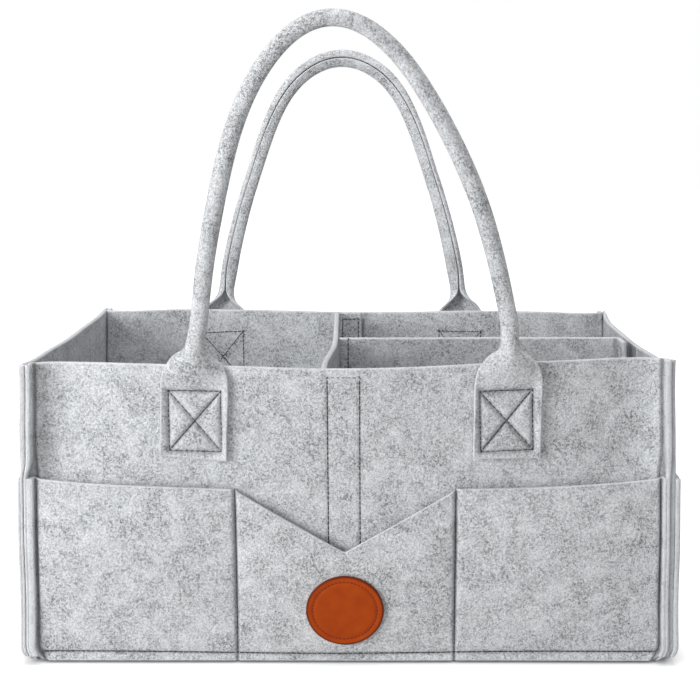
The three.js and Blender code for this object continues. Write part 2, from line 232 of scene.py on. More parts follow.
def walk(line: Sequence[Sequence[float]], step: float = 1.0) -> Points:
    """Splits a polyline into short steps.

    Args:
        line: Corner points.
        step: Longest step.

    Returns:
        Points along the line, corners included.
    """
    corners = np.asarray(line, float)
    runs = [np.linspace(a, b, max(1, math.ceil(np.linalg.norm(b - a) / step)), endpoint=False)
            for a, b in zip(corners[:-1], corners[1:])]
    return np.vstack([*runs, corners[-1:]])


def ring_of(middle: float, half: float, low: float, high: float) -> Points:
    """Closed upright rectangle of two columns, from its lower left corner up."""
    left, right = middle - half, middle + half
    return np.array([(left, low), (left, high), (right, high), (right, low), (left, low)])


# Meshes


def link(name: str, data: Any) -> Object:
    """Makes an object of its data and puts it in the scene."""
    made = bpy.data.objects.new(name, data)
    bpy.context.scene.collection.objects.link(made)
    return made


@dataclass
class Shell:
    """A closed skin in millimetres, with how cut each point is and the painted shade of its folds, creases
    and stitch grooves.
    """

    points: Points
    faces: list[Sequence[int]]
    edge: np.ndarray
    press: np.ndarray

    def turned_out(self) -> "Shell":
        """Turns the faces outwards if the skin's volume is negative."""
        tris = np.array([(f[0], f[i], f[i + 1]) for f in self.faces for i in range(1, len(f) - 1)])
        a, b, c = (self.points[tris[:, i]] for i in range(3))
        if np.einsum("ij,ij->i", a, np.cross(b, c)).sum() < 0:
            self.faces = [f[::-1] for f in self.faces]
        return self

    def to_object(self, name: str, material: Material) -> Object:
        """Makes the Blender object.

        Args:
            name: Name of the piece.
            material: Its finish.

        Returns:
            The new object, at the origin.
        """
        mesh = bpy.data.meshes.new(name)
        mesh.from_pydata((self.points * MM).tolist(), [], self.faces)
        mesh.polygons.foreach_set("use_smooth", [True] * len(mesh.polygons))
        rest = mesh.attributes.new(REST, "FLOAT_VECTOR", "POINT")
        rest.data.foreach_set("vector", (self.points * MM).astype(np.float32).ravel())
        for kind, values in ((EDGE, self.edge), (CREASE_SHADE, self.press)):
            mesh.attributes.new(kind, "FLOAT", "POINT").data.foreach_set("value", values.astype(np.float32))
        mesh.materials.append(material)
        mesh.update()
        return link(name, mesh)


def slab(inner: Points, outer: Points, soft: float = 0.8, turns: int = 4,
         press: Points | None = None) -> Shell:
    """Closes two grids of points into a sheet with softly rounded cut edges.

    Args:
        inner: Points of one face, rows by columns by 3.
        outer: Points of the other face, the same shape.
        soft: How far the cut edge is rounded back on the faces.
        turns: Facets round the edge.
        press: Painted shade on the points of the other face, from 0 to 1, darkest in folds and stitch
            grooves.

    Returns:
        The closed sheet.
    """
    rows, columns = inner.shape[:2]
    size = rows * columns
    grid = np.arange(size).reshape(rows, columns)
    ring = np.concatenate([grid[:, 0], grid[-1, 1:], grid[-2::-1, -1], grid[0, -2:0:-1]])
    middle = (inner + outer) / 2
    away = np.zeros_like(middle)
    for edge, inside in ((np.s_[0], np.s_[1]), (np.s_[-1], np.s_[-2]),
                         (np.s_[:, 0], np.s_[:, 1]), (np.s_[:, -1], np.s_[:, -2])):
        step = middle[edge] - middle[inside]
        away[edge] += step / np.linalg.norm(step, axis=-1, keepdims=True)
    away = away.reshape(-1, 3)[ring]
    away *= soft / np.linalg.norm(away, axis=-1, keepdims=True)
    low, high = (face.reshape(-1, 3)[ring] for face in (inner, outer))
    faces_in, faces_out = inner.reshape(-1, 3).copy(), outer.reshape(-1, 3).copy()
    faces_in[ring] -= away
    faces_out[ring] -= away
    points, loops = [faces_in, faces_out], [ring]
    for k in range(1, turns):
        turn = math.pi * k / turns
        points.append(lerp(low, high, (1 - math.cos(turn)) / 2) - away * (1 - math.sin(turn)))
        loops.append(2 * size + (k - 1) * len(ring) + np.arange(len(ring)))
    loops.append(size + ring)
    quads = np.stack([grid[:-1, :-1], grid[1:, :-1], grid[1:, 1:], grid[:-1, 1:]], -1).reshape(-1, 4)
    faces = quads.tolist() + (size + quads[:, [0, 3, 2, 1]]).tolist()
    for lower, upper in zip(loops[:-1], loops[1:]):
        faces += np.stack([lower, upper, np.roll(upper, -1), np.roll(lower, -1)], -1).tolist()
    edge = np.repeat([0.0, 1.0], [2 * size, (turns - 1) * len(ring)])
    edge[ring] = edge[size + ring] = SHOULDER
    # Painted shade of folds, creases and stitch grooves, on the other face only
    pressed = np.zeros(len(edge))
    if press is not None:
        pressed[size:2 * size] = press.ravel()
    return Shell(np.vstack(points), faces, edge, pressed).turned_out()


def rings_shell(rings: Sequence[Points], edge: Sequence[float]) -> Shell:
    """Closes rings of points into a plate, from the middle of one face over the edge to the other.

    Args:
        rings: Closed rings with the same number of points.
        edge: How near each ring is to a cut edge.

    Returns:
        The closed plate.
    """
    size = len(rings[0])
    points = np.vstack([*rings, rings[0].mean(0, keepdims=True), rings[-1].mean(0, keepdims=True)])
    at = np.arange(len(rings) * size).reshape(-1, size)
    turned = np.roll(at, -1, 1)
    faces = np.stack([at[:-1], turned[:-1], turned[1:], at[1:]], -1).reshape(-1, 4).tolist()
    for middle, here, beside in ((at.size, turned[0], at[0]), (at.size + 1, at[-1], turned[-1])):
        faces += [(middle, *pair) for pair in np.stack([here, beside], -1).tolist()]
    edges = np.array([*np.repeat(edge, size), edge[0], edge[-1]])
    return Shell(points, faces, edges, np.zeros(len(points))).turned_out()


# The box that every panel follows


@dataclass(frozen=True)
class Column:
    """An upright line of a long panel.

    The place is a share along the flange from its tip, an angle round the fold, or a place along the run.
    """

    zone: Zone
    end: int
    at: float


@dataclass(frozen=True)
class CaddyForm:
    """Sizes of the sewn box and the surfaces that its panels follow."""

    length: float = 376.0
    depth: float = 215.0
    height: float = 178.0
    wall_felt: float = 3.2
    pocket_felt: float = 2.4
    handle_felt: float = 2.5
    tape: float = 1.0
    seam_gap: float = 0.3
    seam_flange: float = 7.5
    bend_radius: float = 0.4
    # Walls
    end_lean: float = 4.0
    long_bow: float = 15.0
    bow_powers: Pair = (1.35, 1.15)  # nearly a tent, pushed out by the divider
    bow_blunts: Pair = (0.004, 0.06)  # rounding of the tent's ridge, and its lowering
    rim_dip: float = 2.5
    rim_reach: float = 180.0
    corner_tuck: float = 6.0
    tuck_height: float = 12.0
    lift: float = 1.2  # height of the walls' lower edges off the floor
    foot_trim: float = 5.0  # height of the flanges' cut foot
    foot_run: float = 0.7  # share of the flange that is cut there
    still_half: float = 70.0  # half of a long panel's part with upright columns
    hollow: float = 4.5  # how far a long wall sinks in beside its seams, above the pockets
    hollow_run: float = 15.0
    hollow_fade: Pair = (30.0, 62.0)  # where it ends, from the seam
    hollow_rise: Pair = (-20.0, 15.0)  # where it deepens, up from the mouth
    # Extra height of the rim's corners: front left, front right, back left, back right
    corner_lifts: tuple[float, float, float, float] = (-0.6, 1.4, 2.0, -0.6)
    end_drops: Pair = (1.2, 3.7)  # how far the end walls' rims drop from their corners
    end_sags: Pair = (1.5, 2.8)  # how much further they sag in the middle
    drop_run: float = 30.0  # length of the drop
    # How far handling has pushed the same corners outwards
    pushes: tuple[float, float, float, float] = (1.8, 0.5, -4.4, -1.5)
    push_run: Pair = (110.0, 180.0)  # where the push grows, from the middle
    # Unevenness of handled felt: wave lengths both ways and a start
    waves: tuple[tuple[float, float, float], ...] = ((23, 41, 0.7), (37, -19, 2.1), (61, 29, 4.0))
    uneven: float = 0.35
    rim_wave: float = 0.25
    mouth_wave: float = 0.3
    tip_wave: float = 0.5
    end_pitches: Pair = (2.2, 1.3)  # how closely an end wall's waves follow each other, up and across
    rim_pitch: float = 2.1
    mouth_pitch: float = 1.7
    tip_pitch: float = 2.3
    wave_starts: tuple[float, float, float] = (17.0, 60.0, 11.0)  # ends, mouths and tips don't wave alike
    # Hem and pockets
    hem: float = 5.1
    hem_rise: float = 1.4  # how far the hem's stitches rise to the corners
    hem_middle: float = -15.0
    hem_run: float = 140.0
    hem_flare: float = 1.8  # how far the hem stands out at the floor
    stitch_lines: Pair = (-65.0, 61.4)  # between the pockets
    pocket_ease: float = 5.4
    end_ease: float = 1.6  # the same on the end pockets
    ease_run: float = 2.2
    ease_dome: float = 0.62  # share of the swell that is a slow dome
    hug: float = 0.4  # share of the swell that a pocket loses at its mouth
    hug_run: float = 32.0
    swell_top: float = 59.5
    mouth_corner: float = 111.0
    mouth_falls: Pair = (5.7, 6.2)
    mouth_power: float = 0.6
    notch_x: float = -2.3
    notch_floor: float = 67.6
    notch_round: float = 0.8
    # Tapes
    hook_x: float = -1.0
    hook_y: float = -6.0
    hook_width: float = 14.0
    loop_width: float = 20.0
    tape_top: float = 171.5
    tape_bottom: float = 41.2
    # Corner seams
    free_run: float = 14.0  # height over which a seam changes from four layers to two
    pinches: Pair = (0.9, 0.66)  # thickness that long panels keep in a corner seam
    pinches_up: Pair = (0.82, 1.0)  # the same above the pockets
    end_pinches: Pair = (0.5, 0.86)  # the same for end panels
    end_pinches_up: Pair = (1.0, 0.62)  # the same above the pockets
    pinch_run: float = 12.0  # how far an end panel takes to be squeezed
    pinch_end: float = 3.0  # how far from its side edge it is squeezed fully
    end_draw: Pair = (1.3, 0.3)  # how far pocket and end wall are drawn in together
    crowding: Pair = (1.8, 1.0)  # extra room that the pocket's flange takes
    seam_gaps: Pair = (0.4, 0.45)  # between flange and end wall
    tip_drops: Pair = (0.0, 2.0)  # how much shorter the end walls are cut
    nest: float = 0.9  # how far a pocket sinks into its wall in a corner seam

    @property
    def wall_inner(self) -> float:
        """Inner face of a long wall at its corners."""
        return self.depth / 2 - self.wall_felt

    @property
    def corner_radius(self) -> float:
        """Radius of the outermost layer of a corner fold."""
        return self.wall_felt + self.seam_gap + self.pocket_felt + self.bend_radius

    @property
    def flange_tip(self) -> float:
        """Free edge of a seam flange, out from the middle."""
        return self.depth / 2 + self.seam_flange

    @property
    def pocket_inner(self) -> float:
        """Inner face of a pocket above the wall's inner face."""
        return self.wall_felt + self.seam_gap

    @property
    def tape_length(self) -> float:
        """Length of every tape."""
        return self.tape_top - self.tape_bottom

    def stray(self, a: Any, b: Any) -> Any:
        """Slow unevenness from -1 to 1."""
        waves = sum(np.sin(a / along + b / across + start) for along, across, start in self.waves)
        return waves / len(self.waves)

    def tuck(self, z: Any) -> Any:
        """How far the ends are drawn in at a height."""
        return self.corner_tuck * np.maximum(0, 1 - z / self.tuck_height) ** 2

    def end_inner(self, z: Any) -> Any:
        """Inner face of an end wall at its corners."""
        wave = self.uneven * self.stray(z * self.end_pitches[0], self.wave_starts[0])
        return self.length / 2 - self.wall_felt - self.end_lean * z / self.height - self.tuck(z) + wave

    def end_face(self, y: Any, z: Any) -> Any:
        """Inner face of an end wall anywhere."""
        middle = np.maximum(0, 1 - (y / self.flange_tip) ** 2)
        return self.end_inner(z) + self.uneven * self.stray(y * self.end_pitches[1], z) * middle

    def run_half(self, z: Any) -> Any:
        """Half the bowed run of a long wall."""
        return self.end_inner(z) - self.seam_gap - self.corner_radius

    def bow_shape(self, x: Any, z: Any) -> Any:
        """Bow of a long wall from 0 at its corners to 1 in the middle."""
        rounding, lowering = self.bow_blunts
        share = np.sqrt((x / self.run_half(z)) ** 2 + rounding) - lowering
        return np.maximum(0, 1 - np.maximum(share, 0) ** self.bow_powers[0]) ** self.bow_powers[1]

    def bow(self, x: Any, z: Any) -> Any:
        """How far a long wall stands out past its corners."""
        shape = self.bow_shape(x, z)
        wave = self.uneven * self.stray(x, z) * np.sqrt(shape)
        return self.long_bow * (z / self.height) ** 2 * shape + wave

    def corner_lift(self, share: Any, first: int, last: int) -> Any:
        """Extra height of the rim between two corners, by a share from -1 to 1."""
        return lerp(self.corner_lifts[first], self.corner_lifts[last], (share + 1) / 2)

    def rim(self, x: Any, side: Side) -> Any:
        """Height of the rim of a long wall."""
        first = 0 if side is Side.FRONT else 2
        dip = self.rim_dip * self.bow_shape(x, self.height) ** 3
        wave = self.rim_wave * self.stray(x * self.rim_pitch, 0.0)
        return self.height - dip + wave + self.corner_lift(x / self.rim_reach, first, first + 1)

    def pocket_swell(self, along: Any, low: Any, high: Any, z: Any) -> Any:
        """How far a pocket stands off between two seams."""
        lift = np.clip((z - self.hem) / (self.swell_top - self.hem), 0, 1)
        dome = np.clip(4 * (along - low) * (high - along) / (high - low) ** 2, 0, 1)
        step = ease(np.minimum(along - low, high - along) / self.ease_run)
        return self.pocket_ease * lift * lerp(step, dome, self.ease_dome)

    def long_swell(self, x: Any, z: Any) -> Any:
        """How far a long pocket stands off its wall."""
        left, right = self.stitch_lines
        low = np.where(x < left, -self.run_end(-1, z, False), np.where(x > right, right, left))
        high = np.where(x < left, left, np.where(x > right, self.run_end(1, z, False), right))
        return self.pocket_swell(x, low, high, z)

    def end_swell(self, y: Any, z: Any) -> Any:
        """How far an end pocket stands off its wall."""
        return self.pocket_swell(y, -self.flange_tip, self.flange_tip, z) * self.end_ease / self.pocket_ease

    def mouth(self, x: Any) -> Any:
        """Upper edge of a plain pocket."""
        corner, (left, right) = self.run_half(self.mouth_corner), self.stitch_lines
        fall = np.clip((corner - np.abs(x)) / (corner - np.where(x < 0, -left, right)), 0, 1)
        depth = lerp(*self.mouth_falls, ramp(x, left, right))
        wave = self.mouth_wave * self.stray(x * self.mouth_pitch, self.wave_starts[1])
        return self.mouth_corner - depth * fall ** self.mouth_power + wave

    def notched_mouth(self, x: Any) -> Any:
        """Upper edge of the pocket with a V notch between its stitch lines."""
        left, right = self.stitch_lines
        away = (x - self.notch_x) / np.where(x < self.notch_x, self.notch_x - left, right - self.notch_x)
        blunt = self.notch_round / right
        across = np.clip(1 - np.sqrt(away ** 2 + blunt ** 2) + blunt * np.abs(away), 0, 1)
        return lerp(self.mouth(x), self.notch_floor, across)

    def hem_line(self, x: Any) -> Any:
        """Height of the hem's stitches on a long side."""
        return self.hem + self.hem_rise * ease(np.abs(x - self.hem_middle) / self.hem_run)

    def above_pocket(self, z: Any) -> Any:
        """0 at the pockets' mouth, 1 well above it."""
        return ramp(z, self.mouth_corner, self.mouth_corner + self.free_run)

    def layers(self, z: Any) -> Any:
        """Thickness of the flanges in a corner seam before it is squeezed."""
        return lerp(self.pocket_inner + self.pocket_felt, self.wall_felt, self.above_pocket(z))

    def pinch(self, end: float, z: Any) -> Any:
        """Share of its thickness that a long panel keeps in a corner seam."""
        return lerp(pick(self.pinches, end), pick(self.pinches_up, end), self.above_pocket(z))

    def end_pinch(self, end: float, z: Any) -> Any:
        """Share of its thickness that an end panel keeps in a corner seam."""
        return lerp(pick(self.end_pinches, end), pick(self.end_pinches_up, end), self.above_pocket(z))

    def squeeze(self, end: float, z: Any, depth: float) -> Any:
        """Depth of a long panel's layer in a corner seam."""
        full = self.layers(z)
        crowd = lerp(pick(self.crowding, end), 1.0, self.above_pocket(z))
        return full * (depth / full) ** crowd * self.pinch(end, z)

    def seam_x(self, end: float, z: Any) -> Any:
        """Where the flanges meet the end wall."""
        drawn = pick(self.end_draw, end) * (1 - self.above_pocket(z))
        return self.end_inner(z) + self.layers(z) * (1 - self.end_pinch(end, z)) - drawn

    def flange_x(self, end: float, z: Any) -> Any:
        """Face of the flanges that lies against the end wall."""
        return self.seam_x(end, z) - pick(self.seam_gaps, end)

    def sunk(self, end: float, x: Any, z: Any) -> Any:
        """How far a long wall sinks in beside a corner seam."""
        away = np.maximum(0, self.run_end(end, z, True) - np.abs(x))
        share = away / self.hollow_run
        near = share * np.exp(1 - share) * (1 - ramp(away, *self.hollow_fade))
        return self.hollow * near * ramp(z - self.mouth_corner, *self.hollow_rise)

    def flare(self, z: Any) -> Any:
        """How far the hem stands out below its stitches."""
        return self.hem_flare * np.clip(1 - z / self.hem, 0, 1)

    def settle(self, points: Points) -> Points:
        """Moves points as on a box that has been handled, with its ends a little askew.

        Args:
            points: Points of three columns.

        Returns:
            The moved points.
        """
        x, y = points[:, 0], points[:, 1]
        back = np.clip(y / (2 * self.flange_tip) + 0.5, 0, 1)
        left, right = (lerp(self.pushes[k], self.pushes[k + 2], back) for k in (0, 1))
        push = np.where(x < 0, -left, right) * ramp(np.abs(x), *self.push_run)
        return points + push[:, None] * np.array([1.0, 0.0, 0.0])

    def tip(self, end: float, z: Any) -> Any:
        """Free edge of the layers in a corner seam, cut by hand."""
        return self.flange_tip + self.tip_wave * self.stray(z * self.tip_pitch, self.wave_starts[2] * end)

    def fold_radius(self, z: Any, free: bool) -> Any:
        """Outer radius of a corner fold, tighter where a wall is free of its pocket."""
        tight = self.wall_felt + self.bend_radius
        return lerp(self.corner_radius, tight, self.above_pocket(z)) if free else self.corner_radius

    def run_end(self, end: float, z: Any, free: bool) -> Any:
        """Where the run of a long panel ends and its corner fold starts."""
        layers = (self.fold_radius(z, free) - self.bend_radius) * self.pinch(end, z)
        return self.flange_x(end, z) - layers - self.bend_radius

    def place(self, column: Column, z: Any, depth: Any, free: bool) -> tuple[Any, Any]:
        """Finds a point of a long panel.

        Args:
            column: Upright line that the point lies on.
            z: Its height.
            depth: Its distance outwards from the wall's inner face.
            free: True for a wall, which folds more tightly above its pocket.

        Returns:
            Its x and its distance out from the middle.
        """
        if column.zone is Zone.RUN:
            beyond = max(0.0, abs(column.at) - self.still_half)
            way = math.copysign(1, column.at)
            wide, there = self.run_end(way, self.height, free), self.run_end(way, z, free)
            stretch = (there - self.still_half) / (wide - self.still_half)
            x = column.at + way * beyond * (stretch - 1)
            sunk = self.sunk(way, x, z) if free else 0.0
            return x, self.wall_inner + depth + self.bow(x, z) - sunk
        radius = self.fold_radius(z, free)
        nested = self.nest if depth == self.pocket_inner else 0.0
        layer = self.flange_x(column.end, z) - self.squeeze(column.end, z, depth - nested)
        if column.zone is Zone.FLANGE:
            return column.end * layer, lerp(self.tip(column.end, z), self.wall_inner + radius, column.at)
        start = self.run_end(column.end, z, free)
        x = column.end * lerp(start, layer, math.cos(column.at))
        return x, self.wall_inner + radius - (radius - depth) * math.sin(column.at)


# Panels


def foot_of(form: CaddyForm, out: float) -> float:
    """Height of a panel's foot, by the distance out from the middle."""
    away = (out - form.depth / 2) / (form.seam_flange * form.foot_run)
    return float(lerp(form.lift, form.foot_trim, ease(away)))


def foot_rows(form: CaddyForm) -> np.ndarray:
    """Heights of a panel's lowest rows, closer at the hem's stitches."""
    marks = [(form.hem + k * form.hem_rise - form.lift) / (1 - form.lift / form.tuck_height)
             for k in (0.0, 0.5, 1.0)]
    return graded(0.0, form.tuck_height, step=2.0, marks=marks, fine=0.6, lip=1.3)


@dataclass
class LongPanel:
    """A felt panel along a long side, turned out at both corners as seam flanges."""

    form: CaddyForm
    side: Side
    inner: float
    felt: float
    top: Shape
    marks: Sequence[float]  # stitch lines, where columns stand closer
    press: Press  # how far thread pulls the outer face in
    swells: bool = False  # True for a pocket
    step: float = 3.2
    soft: float = 0.45
    flange: tuple[float, ...] = (0.0, 0.4, 0.7)  # shares along the flange where columns stand
    turns: int = 6
    seam_mark: float = 2.4  # extra columns this far in from a fold
    crease: Pair = (0.3, 0.9)  # felt left under the crease beside a fold, and its width

    def columns(self) -> list[Column]:
        """Upright lines from one flange tip to the other."""
        form = self.form
        left, right = (form.run_end(end, form.height, not self.swells) for end in (-1, 1))
        run = graded(-left, right, self.step, (self.seam_mark - left, *self.marks, right - self.seam_mark))
        turn = np.linspace(0, QUARTER, self.turns + 1)[:-1]
        corner = [(Zone.FLANGE, at) for at in self.flange] + [(Zone.FOLD, at) for at in turn]
        return ([Column(zone, -1, at) for zone, at in corner] + [Column(Zone.RUN, 0, x) for x in run]
                + [Column(zone, 1, at) for zone, at in reversed(corner)])

    def levels(self, column: Column) -> np.ndarray:
        """Heights of the points in a column."""
        form = self.form
        x, out = form.place(column, form.height, self.inner, not self.swells)
        foot = foot_of(form, float(out)) if column.zone is not Zone.RUN else form.lift
        high = graded(form.tuck_height, float(self.top(np.float64(x))), self.step)[1:]
        count = len(graded(form.tuck_height, form.height, self.step)) - 1
        high = np.interp(np.linspace(0, 1, count), np.linspace(0, 1, len(high)), high)
        return np.concatenate([lerp(foot, form.tuck_height, foot_rows(form) / form.tuck_height), high])

    def swell(self, x: Any, z: Any) -> Any:
        """How far a pocket stands off its wall: its mouth lies close."""
        form = self.form
        return form.long_swell(x, z) * (1 - form.hug * ease(1 - (self.top(x) - z) / form.hug_run))

    def grid(self, depth: float, pressed: bool) -> tuple[Points, np.ndarray]:
        """Points of one face.

        Args:
            depth: Distance of the face from the wall's inner face.
            pressed: True where thread pulls the face in.

        Returns:
            Points, columns by levels by 3, and the painted shade of their folds and grooves.
        """
        rows, shares = [], []
        left, width = self.crease
        for column in self.columns():
            z = self.levels(column)
            x, out = self.form.place(column, z, depth, not self.swells)
            # Painted shade: a fold column is darkened fully, a run column by the depth of its crease and
            # stitch grooves, up to 1 mm
            sunk = np.full(len(z), float(column.zone is Zone.FOLD))
            if column.zone is Zone.RUN:
                if self.swells:
                    out = out + self.swell(x, z) + self.form.flare(z)
                fold = self.form.run_end(math.copysign(1, column.at), z, not self.swells)
                sunk = groove(np.abs(x) - fold, self.felt - left, width) + self.press(x, z)
                if pressed:
                    out = out - sunk
            rows.append(xyz(x, self.side.value * out, z))
            shares.append(np.clip(sunk, 0, 1))
        return np.array(rows), np.array(shares)

    def build(self) -> Shell:
        """Makes the closed panel."""
        outer, press = self.grid(self.inner + self.felt, True)
        return slab(self.grid(self.inner, False)[0], outer, self.soft, press=press)

    def on_face(self, line: Points, lift: float, inside: bool = False) -> Points:
        """Lays a flat line of x and z on the panel.

        Args:
            line: Points of two columns.
            lift: Height above the felt.
            inside: True for the face towards the middle of the box.

        Returns:
            Points in space.
        """
        x, z = line.T
        depth = self.inner - lift if inside else self.inner + self.felt + lift
        out = self.form.wall_inner + depth + self.form.bow(x, z)
        if self.swells:
            out = out + self.swell(x, z)
        if not inside:
            out = out - self.press(x, z)
        return xyz(x, self.side.value * out, z)


@dataclass
class EndPanel:
    """A felt panel across one end of the box."""

    form: CaddyForm
    end: End
    inner: float
    felt: float
    top: float
    swells: bool = False  # True for a pocket
    step: float = 3.2
    soft: float = 0.45
    stitch_in: float = 4.0  # corner seam, in from the panel's side edge
    pull: float = 0.7  # how far thread pulls the felt in
    pull_widths: Pair = (1.3, 1.2)  # at the corner seams and at the hem
    top_wave: float = 0.3
    top_pitch: float = 1.9
    top_run: float = 90.0  # height over which the rim moves the felt

    def press(self, y: Any, z: Any) -> Any:
        """How far the corner seams and the hem pull the outer face in."""
        seam, hem = self.pull_widths
        away = np.abs(np.abs(y) - self.form.flange_tip + self.stitch_in)
        return np.maximum(groove(away, self.pull, seam), groove(z - self.form.hem, self.pull, hem))

    def face(self, y: Any, z: Any, depth: float, pressed: bool) -> Points:
        """Points of the panel at a depth from the wall's inner face."""
        form, end = self.form, self.end.value
        corner = ease((np.abs(y) - form.flange_tip + form.pinch_run + form.pinch_end) / form.pinch_run)
        nested = form.nest * corner if depth == form.pocket_inner else 0.0
        base = lerp(form.end_face(y, z), form.seam_x(end, z), corner)
        x = base + (depth - nested) * lerp(1, form.end_pinch(end, z), corner)
        if self.swells:
            x = x + form.end_swell(y, z) + form.flare(z) * (1 - corner)
        if pressed:
            x = x - self.press(y, z)
        drop = 0.0 if self.swells else pick(form.tip_drops, end)
        wave = (form.tip(end, z) - form.flange_tip - drop) * corner
        return xyz(end * x, y + np.sign(y) * wave, z)

    def build(self) -> Shell:
        """Makes the closed panel."""
        form, end = self.form, self.end.value
        tip = form.flange_tip
        seam = tip - self.stitch_in
        y = graded(-tip, tip, self.step, (-seam, seam))
        high = graded(form.tuck_height, self.top, self.step)[1:]
        foot = np.array([foot_of(form, abs(v)) for v in y])[:, None]
        rising = lerp(foot, form.tuck_height, foot_rows(form) / form.tuck_height)
        lift = self.top_wave * form.stray(y * self.top_pitch, self.top)
        if not self.swells:
            first = pick((0, 1), end)
            drop = pick(form.end_drops, end) * ease((tip - np.abs(y)) / form.drop_run)
            sag = pick(form.end_sags, end) * (1 - (y / tip) ** 2)
            lift = lift + form.corner_lift(y / tip, first, first + 2) - drop - sag
        lifted = high + lift[:, None] * ease((high - form.tuck_height) / self.top_run)
        z = np.concatenate([rising, lifted], 1)
        y = np.repeat(y[:, None], z.shape[1], 1)
        outer = self.face(y, z, self.inner + self.felt, True)
        # The depth of the seam and hem grooves, up to 1 mm, is also painted as shade
        return slab(self.face(y, z, self.inner, False), outer, self.soft, press=self.press(y, z))

    def on_face(self, line: Points, lift: float) -> Points:
        """Lays a flat line of y and z on the panel, lifted off the felt."""
        return self.face(*line.T, self.inner + self.felt + lift, True)


@dataclass(frozen=True)
class BasePanel:
    """The bottom of the box: a tray with its edges turned down."""

    form: CaddyForm
    rise: float = 6.0
    fold: float = 4.0
    corner: float = 8.0
    slope: float = 45.0
    turns: int = 5
    side_steps: int = 17
    slope_steps: int = 12
    hem_room: float = 8.0  # extra felt that was cut for the hem

    def ring(self, inset: float, z: float) -> Points:
        """One closed ring of the tray at a distance in from the walls."""
        half_x = float(self.form.end_inner(z)) - self.form.seam_gap - inset
        half_y = self.form.wall_inner - self.form.seam_gap - inset
        radius = max(self.corner - inset, self.corner / 2)
        points = []
        for quarter, (sx, sy) in enumerate(((1, 1), (-1, 1), (-1, -1), (1, -1))):
            for turn in np.linspace(0, QUARTER, self.turns + 1):
                angle = turn + quarter * QUARTER
                points.append((sx * (half_x - radius) + radius * math.cos(angle),
                               sy * (half_y - radius) + radius * math.sin(angle), z))
        corners = np.array(points)
        counts = ([2] * self.turns + [self.side_steps]) * 4
        return np.vstack([np.linspace(a, b, count, endpoint=False)
                          for a, b, count in zip(corners, np.roll(corners, -1, 0), counts)])

    def profile(self, depth: float) -> list[Pair]:
        """Inset and height along one face, from the hem's edge to the flat middle."""
        felt, top, reach = self.form.wall_felt, self.rise + self.form.wall_felt, self.fold - depth
        bend = [(self.fold - reach * math.cos(a), top - self.fold + reach * math.sin(a))
                for a in np.linspace(0, QUARTER, self.turns + 1)]
        slope = [(lerp(self.fold, self.slope, t), float(lerp(top - depth, felt - depth, ease(t))))
                 for t in np.linspace(0, 1, self.slope_steps + 1)[1:]]
        return [(depth, 0.0)] + bend + slope

    def build(self) -> Shell:
        """Makes the closed tray."""
        path = self.profile(self.form.wall_felt)[::-1] + self.profile(0.0)
        return rings_shell([self.ring(inset, z) for inset, z in path], [0.0] * len(path))


# Handles


@dataclass(frozen=True)
class Step:
    """A step along a handle's strip."""

    end: End  # nearer end
    x: float
    rise: float  # above the fold line
    ahead: Pair  # direction of travel in x and z


